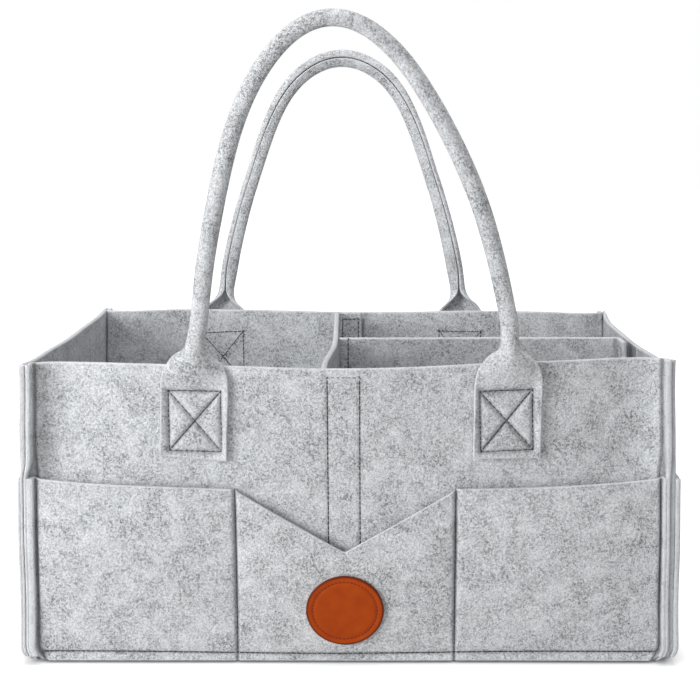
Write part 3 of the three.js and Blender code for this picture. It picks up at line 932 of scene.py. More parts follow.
@dataclass(frozen=True)
class HandleStrip:
    """A carrying handle: a felt strip, sewn on flat at both ends and rolled up between them."""

    form: CaddyForm
    side: Side
    lean: float  # degrees, outwards
    shift: float  # x of the middle between its tabs
    spacing: float
    rise: float
    arch_power: float
    crown_power: float  # the same near the top
    tab_slopes: Pair  # slope of the lower edge of each tab
    box_turns: Pair  # degrees, turn of the stitched box on each tab
    # Height above the fold line, curl in radians and width of the strip, from flat tab to closed tube
    rolling: tuple[tuple[float, float, float], ...]
    skew: float = 0.0  # how far its top stands aside of the middle
    tab_sways: Pair = (0.0, 0.0)  # how far the foot of each tab stands aside
    sway: float = 0.0  # how far both legs stand aside
    twist: float = 0.0  # degrees that the roll's seam turns outwards
    flat: float = 1.0  # depth to width of the roll
    cut_width: float = 37.2
    cut_length: float = 580.0
    tab_length: float = 55.0
    tab_straight: float = 25.0
    hinge_x: float = 88.0
    hinge_edge: float = 68.75
    hinge_rise: float = 1.0
    hinge_blend: Pair = (-4.0, 10.0)  # where the felt bends, up from the fold line
    dome: float = 7.0  # how far the rolling strip stands out at the rim
    dome_fade: float = 46.0
    crown: Pair = (0.64, 0.97)  # shares of the rise where the crown takes over
    sway_in: float = 28.0  # height over which the legs come to stand aside
    sway_out: Pair = (80.0, 155.0)  # heights over which they come back
    twist_in: Pair = (4.0, 30.0)  # heights over which the roll turns and flattens
    twist_out: Pair = (110.0, 185.0)  # heights over which it turns back
    tab_roll: Pair = (-15.0, 4.0)  # heights over which the flat tab becomes the roll
    sway_top: float = -6.0  # height below which a tab stands aside
    slope_top: float = -30.0  # height below which a tab's edge slopes
    puff: float = 0.5  # how far felt stands up between stitches
    puff_run: float = 4.0
    pull: Pair = (1.2, 1.2)  # depth and width of the thread's groove
    curl_up: Pair = (0.9, 2.6)  # rise of a tab's cut edges, and its width
    box_aside: float = -0.6
    box_half: float = 14.9
    box_low: float = 127.3
    box_high: float = 162.8
    press: Pair = (1.0, 0.9)  # strength of the painted shade along the box stitching, and its width
    press_top: float = -10.0
    soft: float = 0.6
    turns: int = 5
    tab_step: float = 0.9
    tab_gap: float = -2.0  # where a tab's steps end
    neck: Pair = (0.5, 30.0)  # heights of its first and last step
    neck_steps: int = 25
    arch_steps: int = 130
    blur: float = 1.6  # height over which the rolling is averaged
    blur_points: int = 9

    @classmethod
    def sewn(cls, form: CaddyForm, side: Side) -> "HandleStrip":
        """Makes the handle of a side: sewn by hand, no two are alike."""
        if side is Side.FRONT:
            rolling = ((-15.5, 0.02, 38.6), (-11.0, 0.7, 38.4), (-6.0, 1.3, 37.8), (-1.0, 1.9, 36.6),
                       (2.4, 2.4, 33.4), (5.7, 3.2, 28.3), (8.5, 5.2, 25.0), (12.0, 6.0, 22.8),
                       (16.0, 6.13, 22.5), (40.0, 6.13, 23.0), (80.0, 6.13, 24.0), (135.0, 6.13, 22.6),
                       (189.0, 6.13, 20.6))
            return cls(form, side, lean=5.0, shift=2.0, spacing=176.0, rise=189.0, arch_power=4 / 3,
                       crown_power=4 / 3, tab_slopes=(-0.075, 0.0), box_turns=(-0.8, 2.0), rolling=rolling,
                       skew=-9.2, tab_sways=(-2.0, 0.0), sway=2.7)
        rolling = ((-15.5, 0.02, 37.2), (-11.0, 0.7, 36.9), (-6.0, 1.4, 36.2), (-1.0, 2.5, 35.0),
                   (3.0, 3.6, 33.0), (7.0, 5.0, 29.5), (11.0, 5.9, 26.5), (15.0, 6.1, 25.0),
                   (30.0, 6.1, 28.5), (60.0, 6.13, 27.0), (100.0, 6.13, 24.5), (150.0, 6.13, 26.5),
                   (186.0, 6.13, 30.0))
        return cls(form, side, lean=13.0, shift=-7.2, spacing=171.0, rise=185.0, arch_power=1.48,
                   crown_power=1.06, tab_slopes=(0.03, -0.04), box_turns=(1.4, -0.6), rolling=rolling,
                   twist=24.0, flat=0.6)

    @property
    def fold_z(self) -> float:
        """Height of the fold line over the rim."""
        form = self.form
        return form.height - form.rim_dip * float(form.bow_shape(self.hinge_x, form.height)) + self.hinge_rise

    @property
    def foot(self) -> float:
        """Height of a tab's lower edge, from the fold line."""
        return self.form.height - self.tab_length - self.fold_z

    @property
    def fold_out(self) -> float:
        """Outer face of the strip at its fold line."""
        return float(self.tab_out(self.hinge_x, self.fold_z)) + self.form.seam_gap + self.form.handle_felt

    def middle(self, end: End) -> float:
        """Middle of a tab along X."""
        return self.shift + end.value * self.spacing / 2

    def tab_out(self, x: Any, z: Any) -> Any:
        """Outer face of the wall under a tab, straightened towards the fold line."""
        form = self.form
        level = np.minimum(z, form.height)
        bowed = form.bow(x, level)
        straight = form.long_bow * (level / form.height) ** 2 * form.bow_shape(self.hinge_edge, level)
        share = ease((z - self.fold_z + self.hinge_rise + self.tab_straight) / self.tab_straight)
        return form.depth / 2 + np.maximum(lerp(bowed, straight, share), bowed)

    def box_lines(self, end: End) -> list[Points]:
        """Stitch lines on a tab: a box and its diagonals, in x and z.

        Args:
            end: Which tab of the handle.

        Returns:
            Polylines of two columns.
        """
        turn = math.radians(pick(self.box_turns, end.value))
        half_z, mid_z = (self.box_high - self.box_low) / 2, (self.box_high + self.box_low) / 2
        corners = np.array([(-1, 1), (1, 1), (1, -1), (-1, -1), (-1, 1)]) * (self.box_half, half_z)
        turned = corners @ [(math.cos(turn), math.sin(turn)), (-math.sin(turn), math.cos(turn))]
        ring = turned + (self.middle(end) + self.box_aside, mid_z)
        return [ring, ring[[0, 2]], ring[[1, 3]]]

    def tab_press(self, end: End, x: Any, z: Any) -> Any:
        """How far the box stitching pulls a tab in, against the felt that puffs up beside it."""
        away = to_segments(x, z, self.box_lines(end))
        depth, width = self.pull
        return groove(away, depth + self.puff, width) + groove(away, self.puff, self.puff_run) - self.puff

    def arch(self, turn: Any) -> tuple[Any, Any]:
        """Place along X and rise of the tube's middle line."""
        share = np.abs(np.sin(turn))
        up = share ** lerp(self.arch_power, self.crown_power, ramp(share, *self.crown))
        rise = self.rise * up
        aside = self.skew * up + self.sway * ease(rise / self.sway_in) * (1 - ramp(rise, *self.sway_out))
        return self.shift + aside + self.spacing / 2 * np.cos(turn), rise

    def roll(self, rise: float) -> Pair:
        """Curl and cut width of the strip at a height above the fold line."""
        heights, curls, widths = (np.array(v) for v in zip(*self.rolling))
        near = rise + np.linspace(-self.blur, self.blur, self.blur_points)
        return float(np.interp(near, heights, curls).mean()), float(np.interp(near, heights, widths).mean())

    def stations(self) -> list[Step]:
        """Steps along the strip, from the foot of the right tab over the arch to the left one."""
        tab = [float(r) for r in graded(self.foot, self.tab_gap, self.tab_step)]
        heights = np.linspace(*self.neck, self.neck_steps + 1)
        neck = np.arcsin((heights / self.rise) ** (1 / self.arch_power))
        first, last = neck[0], neck[-1]
        around = np.linspace(last, math.pi - last, self.arch_steps)
        steps = [Step(End.RIGHT, self.middle(End.RIGHT), r, (0.0, 1.0)) for r in tab]
        for turn in np.concatenate([neck[:-1], around, math.pi - neck[-2::-1]]):
            (xa, ra), (xb, rb) = self.arch(turn - first / 2), self.arch(turn + first / 2)
            x, r = self.arch(turn)
            size = math.hypot(xb - xa, rb - ra)
            end = End.RIGHT if turn < QUARTER else End.LEFT
            steps.append(Step(end, float(x), float(r), ((xb - xa) / size, (rb - ra) / size)))
        return steps + [Step(End.LEFT, self.middle(End.LEFT), r, (0.0, -1.0)) for r in reversed(tab)]

    def rolled(self, step: Step, across: np.ndarray, depth: float) -> Points:
        """Points across the rolled strip at one step, as if it were rolled everywhere.

        Args:
            step: Step along the strip.
            across: Shares of the half width, from -1 to 1.
            depth: Distance inwards from the strip's outer face.

        Returns:
            Points of three columns.
        """
        rise, (ax, az) = step.rise, step.ahead
        curl, width = self.roll(rise)
        radius = width / curl
        felt = self.form.handle_felt
        reach = radius + felt / 2 - depth
        turning = float(ramp(rise, *self.twist_in))
        turned = turning * float(1 - ramp(rise, *self.twist_out))
        angle = across * curl / 2 - math.radians(self.twist) * turned
        aside = reach * np.sin(angle)
        sag = radius * (1 - math.cos(min(curl, math.pi) / 2))
        bulge = min(sag, self.dome) if rise <= 0 else self.dome * (1 - float(ease(rise / self.dome_fade)))
        inwards = (radius + felt / 2 - reach * np.cos(angle)) * lerp(1, self.flat, turning)
        lean = math.radians(self.lean)
        out = self.fold_out + bulge + rise * math.sin(lean) - inwards * math.cos(lean)
        z = self.fold_z + rise * math.cos(lean) + inwards * math.sin(lean) - ax * aside
        return xyz(step.x + az * aside, self.side.value * out, z)

    def section(self, step: Step, across: np.ndarray, depth: float) -> Points:
        """Points across the strip at one step, flat on the tabs and rolled above them.

        Args:
            step: Step along the strip.
            across: Shares of the half width, from -1 to 1.
            depth: Distance inwards from the strip's outer face.

        Returns:
            Points of three columns.
        """
        rolled = self.rolled(step, across, depth)
        end, rise, foot = step.end, step.rise, self.foot
        share = float(ramp(rise, *self.tab_roll))
        if share >= 1.0:
            return rolled
        half = self.roll(rise)[1] / 2
        aside = pick(self.tab_sways, end.value) * float(ramp(rise, self.sway_top, foot))
        x = step.x + step.ahead[1] * across * half + aside
        slope = pick(self.tab_slopes, end.value) * float(ramp(rise, self.slope_top, foot))
        z = self.fold_z + rise + slope * (x - self.middle(end))
        out = self.tab_out(x, z) + self.form.seam_gap + self.form.handle_felt - depth
        out = out + groove(np.minimum((1 - np.abs(across)) * half, rise - foot), *self.curl_up)
        if depth == 0:
            out = out - self.tab_press(end, x, z)
        return lerp(xyz(x, self.side.value * out, z), rolled, share)

    def build(self) -> Shell:
        """Makes the closed strip."""
        across = graded(-1.0, 1.0, step=0.045, fine=0.02, lip=0.06)
        steps = self.stations()
        inner, outer = (np.array([self.section(step, across, depth) for step in steps])
                        for depth in (self.form.handle_felt, 0.0))
        # Painted shade along the box stitching of the tabs
        press = np.zeros(outer.shape[:2])
        for k, step in enumerate(steps):
            if step.rise < self.press_top:
                away = to_segments(outer[k, :, 0], outer[k, :, 2], self.box_lines(step.end))
                press[k] = groove(away, *self.press)
        return slab(inner, outer, self.soft, self.turns, press)

    def stitches(self, lift: float, wall: LongPanel) -> list[Points]:
        """Thread on both tabs, and where it comes out inside the wall.

        Args:
            lift: Height of the thread's middle above the felt.
            wall: The wall that the tabs are sewn to.

        Returns:
            Polylines in space.
        """
        lines = []
        for end in End:
            for line in self.box_lines(end):
                x, z = walk(line).T
                out = self.tab_out(x, z) + self.form.seam_gap + self.form.handle_felt + lift
                out = out - self.tab_press(end, x, z)
                lines.append(xyz(x, self.side.value * out, z))
                lines.append(wall.on_face(np.stack([x, z], -1), lift, inside=True))
        return lines


# Divider


@dataclass(frozen=True)
class Divider:
    """The T-shaped divider: a cross panel with two end tabs and a long panel sewn to it."""

    form: CaddyForm
    cross_x: float = -12.0
    long_y: float = 5.0
    long_length: float = 188.0
    tab: float = 20.6
    fold: float = 1.5
    bottom: float = 10.2
    top: float = 174.6
    tab_lift: float = 2.4  # extra height of the cross panel at the back wall
    lift_along: Pair = (30.0, 90.0)  # y between which it rises
    lift_up: Pair = (120.0, 170.0)  # heights where it is stretched for that
    sways: tuple[float, float, float] = (-1.6, 2.6, 1.4)  # how far it strays in x: front, seam, back
    peel: float = 2.2  # how far the end tab's top has come off the wall
    peel_start: float = 110.0
    seam_run: float = 4.6  # stitch line of the long panel, from its seam
    seam_pull: Pair = (0.6, 1.2)  # depth and width of the thread's groove
    seam_free: Pair = (6.0, 36.0)  # where the cross panel starts to stray, from the seam
    seam_edge: Pair = (0.6, 0.8)  # rounding of the edge at the seam: shares of half the felt
    free_ends: float = 0.15  # shares of the long panel held by its ends
    slack: float = 0.8  # how far a free panel strays from a plane
    cross_pitches: Pair = (1.2, 0.6)  # how closely its waves follow each other, along and up
    long_pitches: Pair = (1.1, 0.5)
    step: float = 3.4
    run_scale: float = 180.0  # about the long panel's length, turns spacings into shares
    tab_step: float = 2.0
    tab_rows: int = 9
    panel_rows: int = 54
    turns: int = 6
    long_soft: float = 0.7
    tape_stitch: tuple[float, float, float] = (1.4, 1.5, 1.8)  # in from a hook tape's side, foot and top

    @property
    def stack(self) -> float:
        """Wall to divider tab, over both tapes."""
        return 2 * self.form.tape + 3 * self.form.seam_gap

    @property
    def bend(self) -> float:
        """Outer fold radius at a tab."""
        return self.form.wall_felt + self.fold

    @property
    def cross_left(self) -> float:
        """Left face of the cross panel."""
        return self.cross_x - self.form.wall_felt / 2

    @property
    def seam_x(self) -> float:
        """Upright seam that the long panel swings on."""
        return self.cross_x + self.form.wall_felt + self.form.seam_gap

    @property
    def long_back(self) -> float:
        """Back face of the long panel."""
        return self.long_y + self.form.wall_felt / 2

    @property
    def height(self) -> float:
        """Height of both panels."""
        return self.top - self.bottom

    def long_out(self, x: Any, z: Any) -> Any:
        """Wall-side face of the cross panel's tabs."""
        return self.form.wall_inner + self.form.bow(x, z) - self.stack

    def end_out(self, y: Any, z: Any) -> Any:
        """Wall-side face of the long panel's tab."""
        return self.form.end_face(y, z) - self.stack

    def levels(self) -> np.ndarray:
        """Heights of the points in a column."""
        return graded(self.bottom, self.top, self.step)

    def off(self, z: Any) -> Any:
        """How far the end tab has come off the wall at a height."""
        return self.peel * ramp(z, self.peel_start, self.top)

    def sway(self, y: Any, z: Any) -> Any:
        """How far the cross panel strays in x, most of it near the top."""
        front, seam, back = self.sways
        reach = self.form.wall_inner
        ahead, behind = ramp(y, -reach, self.long_y), ramp(y, self.long_y, reach)
        return (front + (seam - front) * ahead + (back - seam) * behind) * ramp(z, self.bottom, self.top)

    def raised(self, y: Any, z: Any) -> Any:
        """Height of the cross panel's points, raised towards the back wall."""
        return z + self.tab_lift * ramp(y, *self.lift_along) * ramp(z, *self.lift_up)

    def half_cross(self, side: Side, depth: float) -> list[Points]:
        """Columns of a tab of the cross panel and its fold, from the tab's free edge."""
        z = self.levels()
        reach = self.bend - depth
        fold_x = self.cross_left + self.bend + self.sway(side.value * self.form.wall_inner, z)
        out = self.long_out(fold_x, z) - self.bend
        shares = np.linspace(1, 0, self.tab_rows + 1)[:-1]
        tab = [lerp(fold_x, self.cross_left + self.tab, t) for t in shares]
        rows = [xyz(x, side.value * (self.long_out(x, z) - depth), z) for x in tab]
        return rows + [xyz(fold_x - reach * math.sin(a), side.value * (out + reach * math.cos(a)), z)
                       for a in np.linspace(0, QUARTER, self.turns + 1)]

    def cross_face(self, depth: float) -> Points:
        """Points of one face of the cross panel at a depth from the left."""
        z = self.levels()
        out = self.long_out(self.cross_left + self.bend, z) - self.bend
        along, up = self.cross_pitches
        panel = []
        for share in np.linspace(-1, 1, self.panel_rows + 2)[1:-1]:
            y = share * out
            loose = (1 - share ** 2) * ramp(np.abs(y - self.long_y), *self.seam_free)
            stray = self.slack * self.form.stray(y * along, z * up) * loose
            panel.append(xyz(self.cross_left + depth + self.sway(y, z) + stray, y, z))
        front, back = (self.half_cross(side, depth) for side in Side)
        points = np.array(front + panel + back[::-1])
        points[..., 2] = self.raised(points[..., 1], points[..., 2])
        return points

    def cross(self) -> Shell:
        """Makes the cross panel: front tab, fold, panel, fold and back tab."""
        return slab(self.cross_face(0.0), self.cross_face(self.form.wall_felt))

    def long_run(self) -> np.ndarray:
        """Shares along the long panel between its seam and its fold."""
        scale = self.run_scale
        marks = [self.seam_run / scale]
        return graded(0.0, 1.0, self.step / scale, marks, fine=0.8 / scale, lip=1.5 / scale)[1:-1]

    def long_face(self, depth: float) -> Points:
        """Points of one face of the long panel at a depth from the back."""
        z, half = self.levels(), self.form.wall_felt / 2
        fold_y, reach, off = self.long_back - self.bend, self.bend - depth, self.off(z)
        fold_x = self.end_out(fold_y, z) - self.bend - off
        seam_x = self.seam_x + self.sway(self.long_y, z)
        along, across = self.seam_edge
        rows = [xyz(seam_x - half * along, self.long_y + (half - depth) * across, z),
                xyz(seam_x, self.long_y + half - depth, z)]
        for share in self.long_run():
            x = lerp(seam_x, fold_x, share)
            loose = ease(share / self.free_ends) * ease((1 - share) / self.free_ends)
            pull = groove(x - seam_x - self.seam_run, *self.seam_pull) * math.copysign(1, half - depth)
            stray = self.slack * self.form.stray(x * self.long_pitches[0], z * self.long_pitches[1]) * loose
            rows.append(xyz(x, self.long_back - depth - pull + stray, z))
        rows += [xyz(fold_x + reach * math.sin(a), fold_y + reach * math.cos(a), z)
                 for a in np.linspace(0, QUARTER, self.turns + 1)]
        tab = graded(self.long_back - self.tab, fold_y, self.tab_step)[:-1][::-1]
        return np.array(rows + [xyz(self.end_out(y, z) - depth - off, y, z) for y in tab])

    def long(self) -> Shell:
        """Makes the long panel: a rounded edge at the seam, the panel, a fold and its end tab."""
        front = self.long_face(self.form.wall_felt)
        press = np.zeros(front.shape[:2])
        fold = len(self.long_run()) + 2
        press[fold:fold + self.turns + 1] = 1.0  # painted shade on the inside of the fold
        return slab(self.long_face(0.0), front, self.long_soft, press=press)

    def tape_line(self, middle: float) -> tuple[np.ndarray, np.ndarray]:
        """Stitch line round a hook tape, across the tab and up it."""
        form, (side, foot, top) = self.form, self.tape_stitch
        half = form.hook_width / 2 - side
        return walk(ring_of(middle, half, form.tape_bottom + foot, form.tape_top - top)).T

    def cross_stitches(self, lift: float) -> list[Points]:
        """Thread of the hook tapes, on the free faces of the cross panel's tabs."""
        x, z = self.tape_line(self.form.hook_x)
        out = self.long_out(x, z) - self.form.wall_felt - lift
        return [xyz(x, side.value * out, self.raised(side.value * out, z)) for side in Side]

    def long_stitches(self, lift: float) -> list[Points]:
        """Thread along the seam of the long panel, and round the hook tape on its tab."""
        felt = self.form.wall_felt
        y, z = self.tape_line(self.form.hook_y)
        lines = [xyz(self.end_out(y, z) - felt - self.off(z) + lift, y, z)]
        rise = np.arange(self.bottom + 2, self.top - 1, 1.0)
        x = self.seam_x + self.sway(self.long_y, rise) + self.seam_run
        out = felt / 2 - self.seam_pull[0] + lift
        return lines + [xyz(x, self.long_y + way * out, rise) for way in (-1, 1)]


# Tapes and patch


@dataclass(frozen=True)
class Tapes:
    """Hook-and-loop tapes between the walls and the divider's tabs."""

    form: CaddyForm
    off: Shape | None = None  # how far the end tape has come off with its tab
    backing: float = 0.4
    steps: Pair = (2.0, 3.0)  # across the wall and up it
    lip: float = 0.8
    soft: float = 0.2
    turns: int = 3
    pile_in: tuple[float, float, float] = (1.6, 1.2, 1.0)  # bare edge at the sides, foot and top
    stitch_in: tuple[float, float, float] = (0.9, 0.9, 0.7)  # the same for the stitches of a loop tape

    def face(self, wall: Side | End, u: Any, z: Any, depth: float) -> Points:
        """Points at a place along a wall, a height, and a depth from the wall's inner face."""
        form = self.form
        if isinstance(wall, End):
            away = depth + self.off(z) if self.off else depth
            return xyz(wall.value * (form.end_face(u, z) - away), u, z)
        return xyz(u, wall.value * (form.wall_inner - depth + form.bow(u, z)), z)

    def middle(self, wall: Side | End) -> float:
        """Middle of the tapes along a wall."""
        return self.form.hook_y if isinstance(wall, End) else self.form.hook_x

    def build(self, wall: Side | End, width: float, lift: float) -> Shell:
        """Makes the backing of a tape.

        Args:
            wall: Wall that the tape lies along.
            width: Width of the tape.
            lift: Distance of the backing from the wall's inner face.

        Returns:
            The closed backing.
        """
        form, middle = self.form, self.middle(wall)
        across, up = self.steps
        u, z = np.meshgrid(graded(middle - width / 2, middle + width / 2, across, lip=self.lip),
                           graded(form.tape_bottom, form.tape_top, up, lip=self.lip), indexing="ij")
        faces = [self.face(wall, u, z, depth) for depth in (lift, lift + self.backing)]
        return slab(*faces, self.soft, self.turns)

    def rows(self, wall: Side | End, width: float, depth: float, spacing: float) -> Points:
        """Places of the pile on a tape, in rows set off by half a step."""
        form, middle, (side, foot, top) = self.form, self.middle(wall), self.pile_in
        half = width / 2 - side
        u, z = np.meshgrid(np.arange(middle - half, middle + half, spacing),
                           np.arange(form.tape_bottom + foot, form.tape_top - top, spacing), indexing="ij")
        u = u + spacing / 2 * (np.arange(u.shape[1]) % 2)
        return self.face(wall, u, z, depth).reshape(-1, 3)

    def rectangle(self, middle: float) -> Points:
        """Stitch line round a loop tape, across the wall and up it."""
        form, (side, foot, top) = self.form, self.stitch_in
        return ring_of(middle, form.loop_width / 2 - side, form.tape_bottom + foot, form.tape_top - top)


@dataclass(frozen=True)
class LeatherPatch:
    """The bare leather disc sewn on the front pocket."""

    pocket: LongPanel
    diameter: float = 45.0
    height: float = 33.0
    aside: float = -2.2  # how far left of the middle it was sewn
    oval: float = 0.95  # height to width
    leather: float = 2.0
    stitch_in: float = 3.9
    pull: Pair = (0.55, 0.75)  # depth and width of the thread's groove
    back_round: Pair = (0.55, 0.6)  # how the cut edge is rounded at the back, along and up
    front_round: float = 0.8
    back_angles: tuple[float, ...] = (0.4, 1.0, QUARTER)  # where rings stand round the cut edge
    front_angles: tuple[float, ...] = (0.0, 0.5, 1.0, QUARTER)
    back_rings: Pair = (4.0, 12.0)  # their radii on the flat faces
    front_rings: tuple[float, ...] = (2.0, 6.0, 10.0, 14.0)
    seam_rings: tuple[float, ...] = (-2.4, -1.2, -0.6, 0.0, 0.6, 1.2)  # from the stitches
    edge_ring: float = 1.5  # in from the edge
    steps: int = 96

    @property
    def edge(self) -> float:
        """Radius of the disc."""
        return self.diameter / 2

    @property
    def seam(self) -> float:
        """Radius of the stitched ring."""
        return self.edge - self.stitch_in

    def ring(self, radius: float, lift: float) -> Points:
        """One ring of the disc, bent with the pocket."""
        form = self.pocket.form
        angle = np.linspace(0, 2 * math.pi, self.steps, endpoint=False)
        x, z = radius * np.cos(angle) + self.aside, self.height + self.oval * radius * np.sin(angle)
        base = form.wall_inner + form.pocket_inner + form.pocket_felt + form.seam_gap
        out = base + lift + form.bow(x, z) + self.pocket.swell(x, z)
        return xyz(x, self.pocket.side.value * out, z)

    def lift(self, radius: float) -> float:
        """Height of the outer face, pulled in along the stitches."""
        return self.leather - float(groove(radius - self.seam, *self.pull))

    def build(self) -> Shell:
        """Makes the closed disc."""
        edge, (along, up), round_off = self.edge, self.back_round, self.front_round
        radii = [*self.front_rings, *(self.seam + away for away in self.seam_rings), edge - self.edge_ring]
        path = [(r, 0.0, 0.0) for r in (*self.back_rings, edge - round_off)]
        path += [(edge - along + along * math.sin(a), up - up * math.cos(a), 1.0) for a in self.back_angles]
        middle, level = edge - round_off, self.leather - round_off
        path += [(middle + round_off * math.cos(a), level + round_off * math.sin(a), 1.0)
                 for a in self.front_angles]
        path += [(r, self.lift(r), 0.0) for r in reversed(radii)]
        return rings_shell([self.ring(r, lift) for r, lift, _ in path], [e for _, _, e in path])

    def stitches(self, above: float) -> list[Points]:
        """Thread ring on the leather."""
        ring = self.ring(self.seam, self.lift(self.seam) + above)
        return [np.vstack([ring, ring[:1]])]


# Finishes


Add = Callable[..., Node]


def node(tree: NodeTree, kind: str, inputs: dict[Any, Any] | None = None,
         **settings: Any) -> Node:
    """Adds a node with its settings, values and links.

    Args:
        tree: Tree that takes the node.
        kind: Blender's type name.
        inputs: Values, output sockets, or nodes for their first output in use, by the input's name or number.
        **settings: Properties of the node.

    Returns:
        The new node.
    """
    made = tree.nodes.new(kind)
    for name, value in settings.items():
        setattr(made, name, value)
    for name, value in (inputs or {}).items():
        if isinstance(value, Node):
            value = next(way for way in value.outputs if way.enabled)
        if isinstance(value, NodeSocket):
            tree.links.new(value, made.inputs[name])
        else:
            made.inputs[name].default_value = value
    return made


def per_mm(size: float) -> float:
    """Noise scale for a grain of a size in millimetres."""
    return 1.0 / (size * MM)


@dataclass(frozen=True)
class Finish:
    """A finish: each kind of finish puts its own shader together."""

    name: str
    colour: str

    def shader(self, add: Add) -> Node:
        """Adds the nodes and returns the shader."""
        raise NotImplementedError

    def make(self) -> Material:
        """Builds the material."""
        material = bpy.data.materials.new(self.name)
        material.use_nodes = True
        material.node_tree.nodes.clear()
        add = partial(node, material.node_tree)
        add("ShaderNodeOutputMaterial", {"Surface": self.shader(add)})
        return material


@dataclass(frozen=True)
class NeedledFelt(Finish):
    """Needled polyester felt: curled light and dark grey fibres in a pressed mat, speckled and dull."""

    name: str = "needled_polyester_felt_grey"
    colour: str = "#d6d8db"
    dark: str = "#5e6166"
    # Painted highlight: cut edges are drawn lighter, as if their fibre ends caught the light
    cut: str = "#dddfe2"
    # Painted shade in folds, creases and stitch grooves
    pressed: str = "#4b4e53"
    curl: float = 4.6  # mm, size of the curls that fibres lie in
    small_curl: float = 0.62  # size of the smaller curls to the larger ones
    speck: float = 1.45  # mm, clumps of fibre, drawn a little coarser than real so that they show
    grain: float = 0.7  # mm, single fibres, coarser than real for the same reason
    cloud: float = 13.0  # mm, uneven mixing of the greys
    relief: float = 0.45  # mm, height of the nap

    def shader(self, add: Add) -> Node:
        """Adds the nodes and returns the shader."""
        rest = add("ShaderNodeAttribute", attribute_name=REST).outputs["Vector"]
        noises: dict[str, Node] = {}
        shares: dict[str, Node] = {}
        for name, size, detail, rough, bend, offset in (
                ("cloud", self.cloud, 4.0, 0.6, 0.4, 0.0), ("speck", self.speck, 2.0, 0.6, 0.6, 0.0),
                ("grain", self.grain, 1.0, 0.5, 0.3, 0.5), ("curl", self.curl, 2.0, 0.6, 1.4, 0.1),
                ("small_curl", self.curl * self.small_curl, 2.0, 0.6, 1.4, 0.3)):
            moved = add("ShaderNodeVectorMath", {0: rest, 1: (offset, offset, offset)})
            noises[name] = add("ShaderNodeTexNoise", {
                "Vector": moved, "Scale": per_mm(size), "Detail": detail, "Roughness": rough,
                "Distortion": bend})
        # Level lines of a slow noise are thin closed curls, like crimped fibres
        for name in ("curl", "small_curl"):
            centred = add("ShaderNodeMath", {0: noises[name], 1: 0.5}, operation="SUBTRACT")
            noises[name] = add("ShaderNodeMath", {0: centred}, operation="ABSOLUTE")
        for name, source, low, high, at_low, at_high in (
                ("lines", "curl", 0.0, 0.045, 1.0, 0.0), ("small_lines", "small_curl", 0.0, 0.055, 1.0, 0.0),
                ("thin", "speck", 0.6, 0.44, 0.0, 1.0), ("open", "cloud", 0.66, 0.36, 0.3, 0.95),
                ("clumps", "speck", 0.25, 0.75, 0.92, 1.08), ("mixing", "cloud", 0.28, 0.72, 0.88, 1.1),
                ("fibres", "grain", 0.25, 0.75, 0.74, 1.25)):
            shares[name] = add("ShaderNodeMapRange", {
                "Value": noises[source], "From Min": low, "From Max": high, "To Min": at_low,
                "To Max": at_high})
        # Dark fibres show where the pale clumps are thin
        dark = add("ShaderNodeMath", {0: shares["lines"], 1: shares["small_lines"]}, operation="MAXIMUM")
        for name in ("thin", "open"):
            dark = add("ShaderNodeMath", {0: dark, 1: shares[name]}, operation="MULTIPLY")
        shade = shares["clumps"]
        for name in ("mixing", "fibres"):
            shade = add("ShaderNodeMath", {0: shade, 1: shares[name]}, operation="MULTIPLY")
        grey = add("ShaderNodeMix", {0: dark, 6: linear(self.colour), 7: linear(self.dark)}, data_type="RGBA")
        grey = add("ShaderNodeMix", {0: 1.0, 6: grey, 7: shade}, data_type="RGBA", blend_type="MULTIPLY")
        # Painted light: cut edges are lightened as a painted highlight, and folds and grooves darkened as
        # painted shade
        for attribute, weight, tone in ((EDGE, 0.75, self.cut), (CREASE_SHADE, 0.5, self.pressed)):
            near = add("ShaderNodeAttribute", attribute_name=attribute).outputs["Fac"]
            share = add("ShaderNodeMath", {0: near, 1: weight}, operation="MULTIPLY")
            grey = add("ShaderNodeMix", {0: share, 6: grey, 7: linear(tone)}, data_type="RGBA")
        raised = add("ShaderNodeMath", {0: noises["grain"], 1: 0.5, 2: noises["speck"]},
                     operation="MULTIPLY_ADD")
        sunk = add("ShaderNodeMath", {0: dark, 1: 0.5}, operation="MULTIPLY")
        nap = add("ShaderNodeMath", {0: raised, 1: sunk}, operation="SUBTRACT")
        bump = add("ShaderNodeBump", {"Height": nap, "Distance": self.relief * MM, "Strength": 0.9})
        return add("ShaderNodeBsdfPrincipled", {
            "Base Color": grey, "Roughness": 0.95, "Specular IOR Level": 0.12, "Sheen Weight": 0.12,
            "Sheen Roughness": 0.6, "Normal": bump})


@dataclass(frozen=True)
class SpunThread(Finish):
    """Spun polyester sewing thread: dark, slightly glossy, its twist only a change of shade."""

    twist: float = 0.8  # mm, coarser than real so that it shows

    def shader(self, add: Add) -> Node:
        """Adds the nodes and returns the shader."""
        place = add("ShaderNodeTexCoord").outputs["Object"]
        twist = add("ShaderNodeTexNoise", {"Vector": place, "Scale": per_mm(self.twist), "Detail": 1.0})
        shade = add("ShaderNodeMapRange", {"Value": twist, "To Min": 0.75, "To Max": 1.25})
        dyed = add("ShaderNodeMix", {0: 1.0, 6: linear(self.colour), 7: shade}, data_type="RGBA",
                   blend_type="MULTIPLY")
        return add("ShaderNodeBsdfPrincipled", {
            "Base Color": dyed, "Roughness": 0.6, "Specular IOR Level": 0.3})


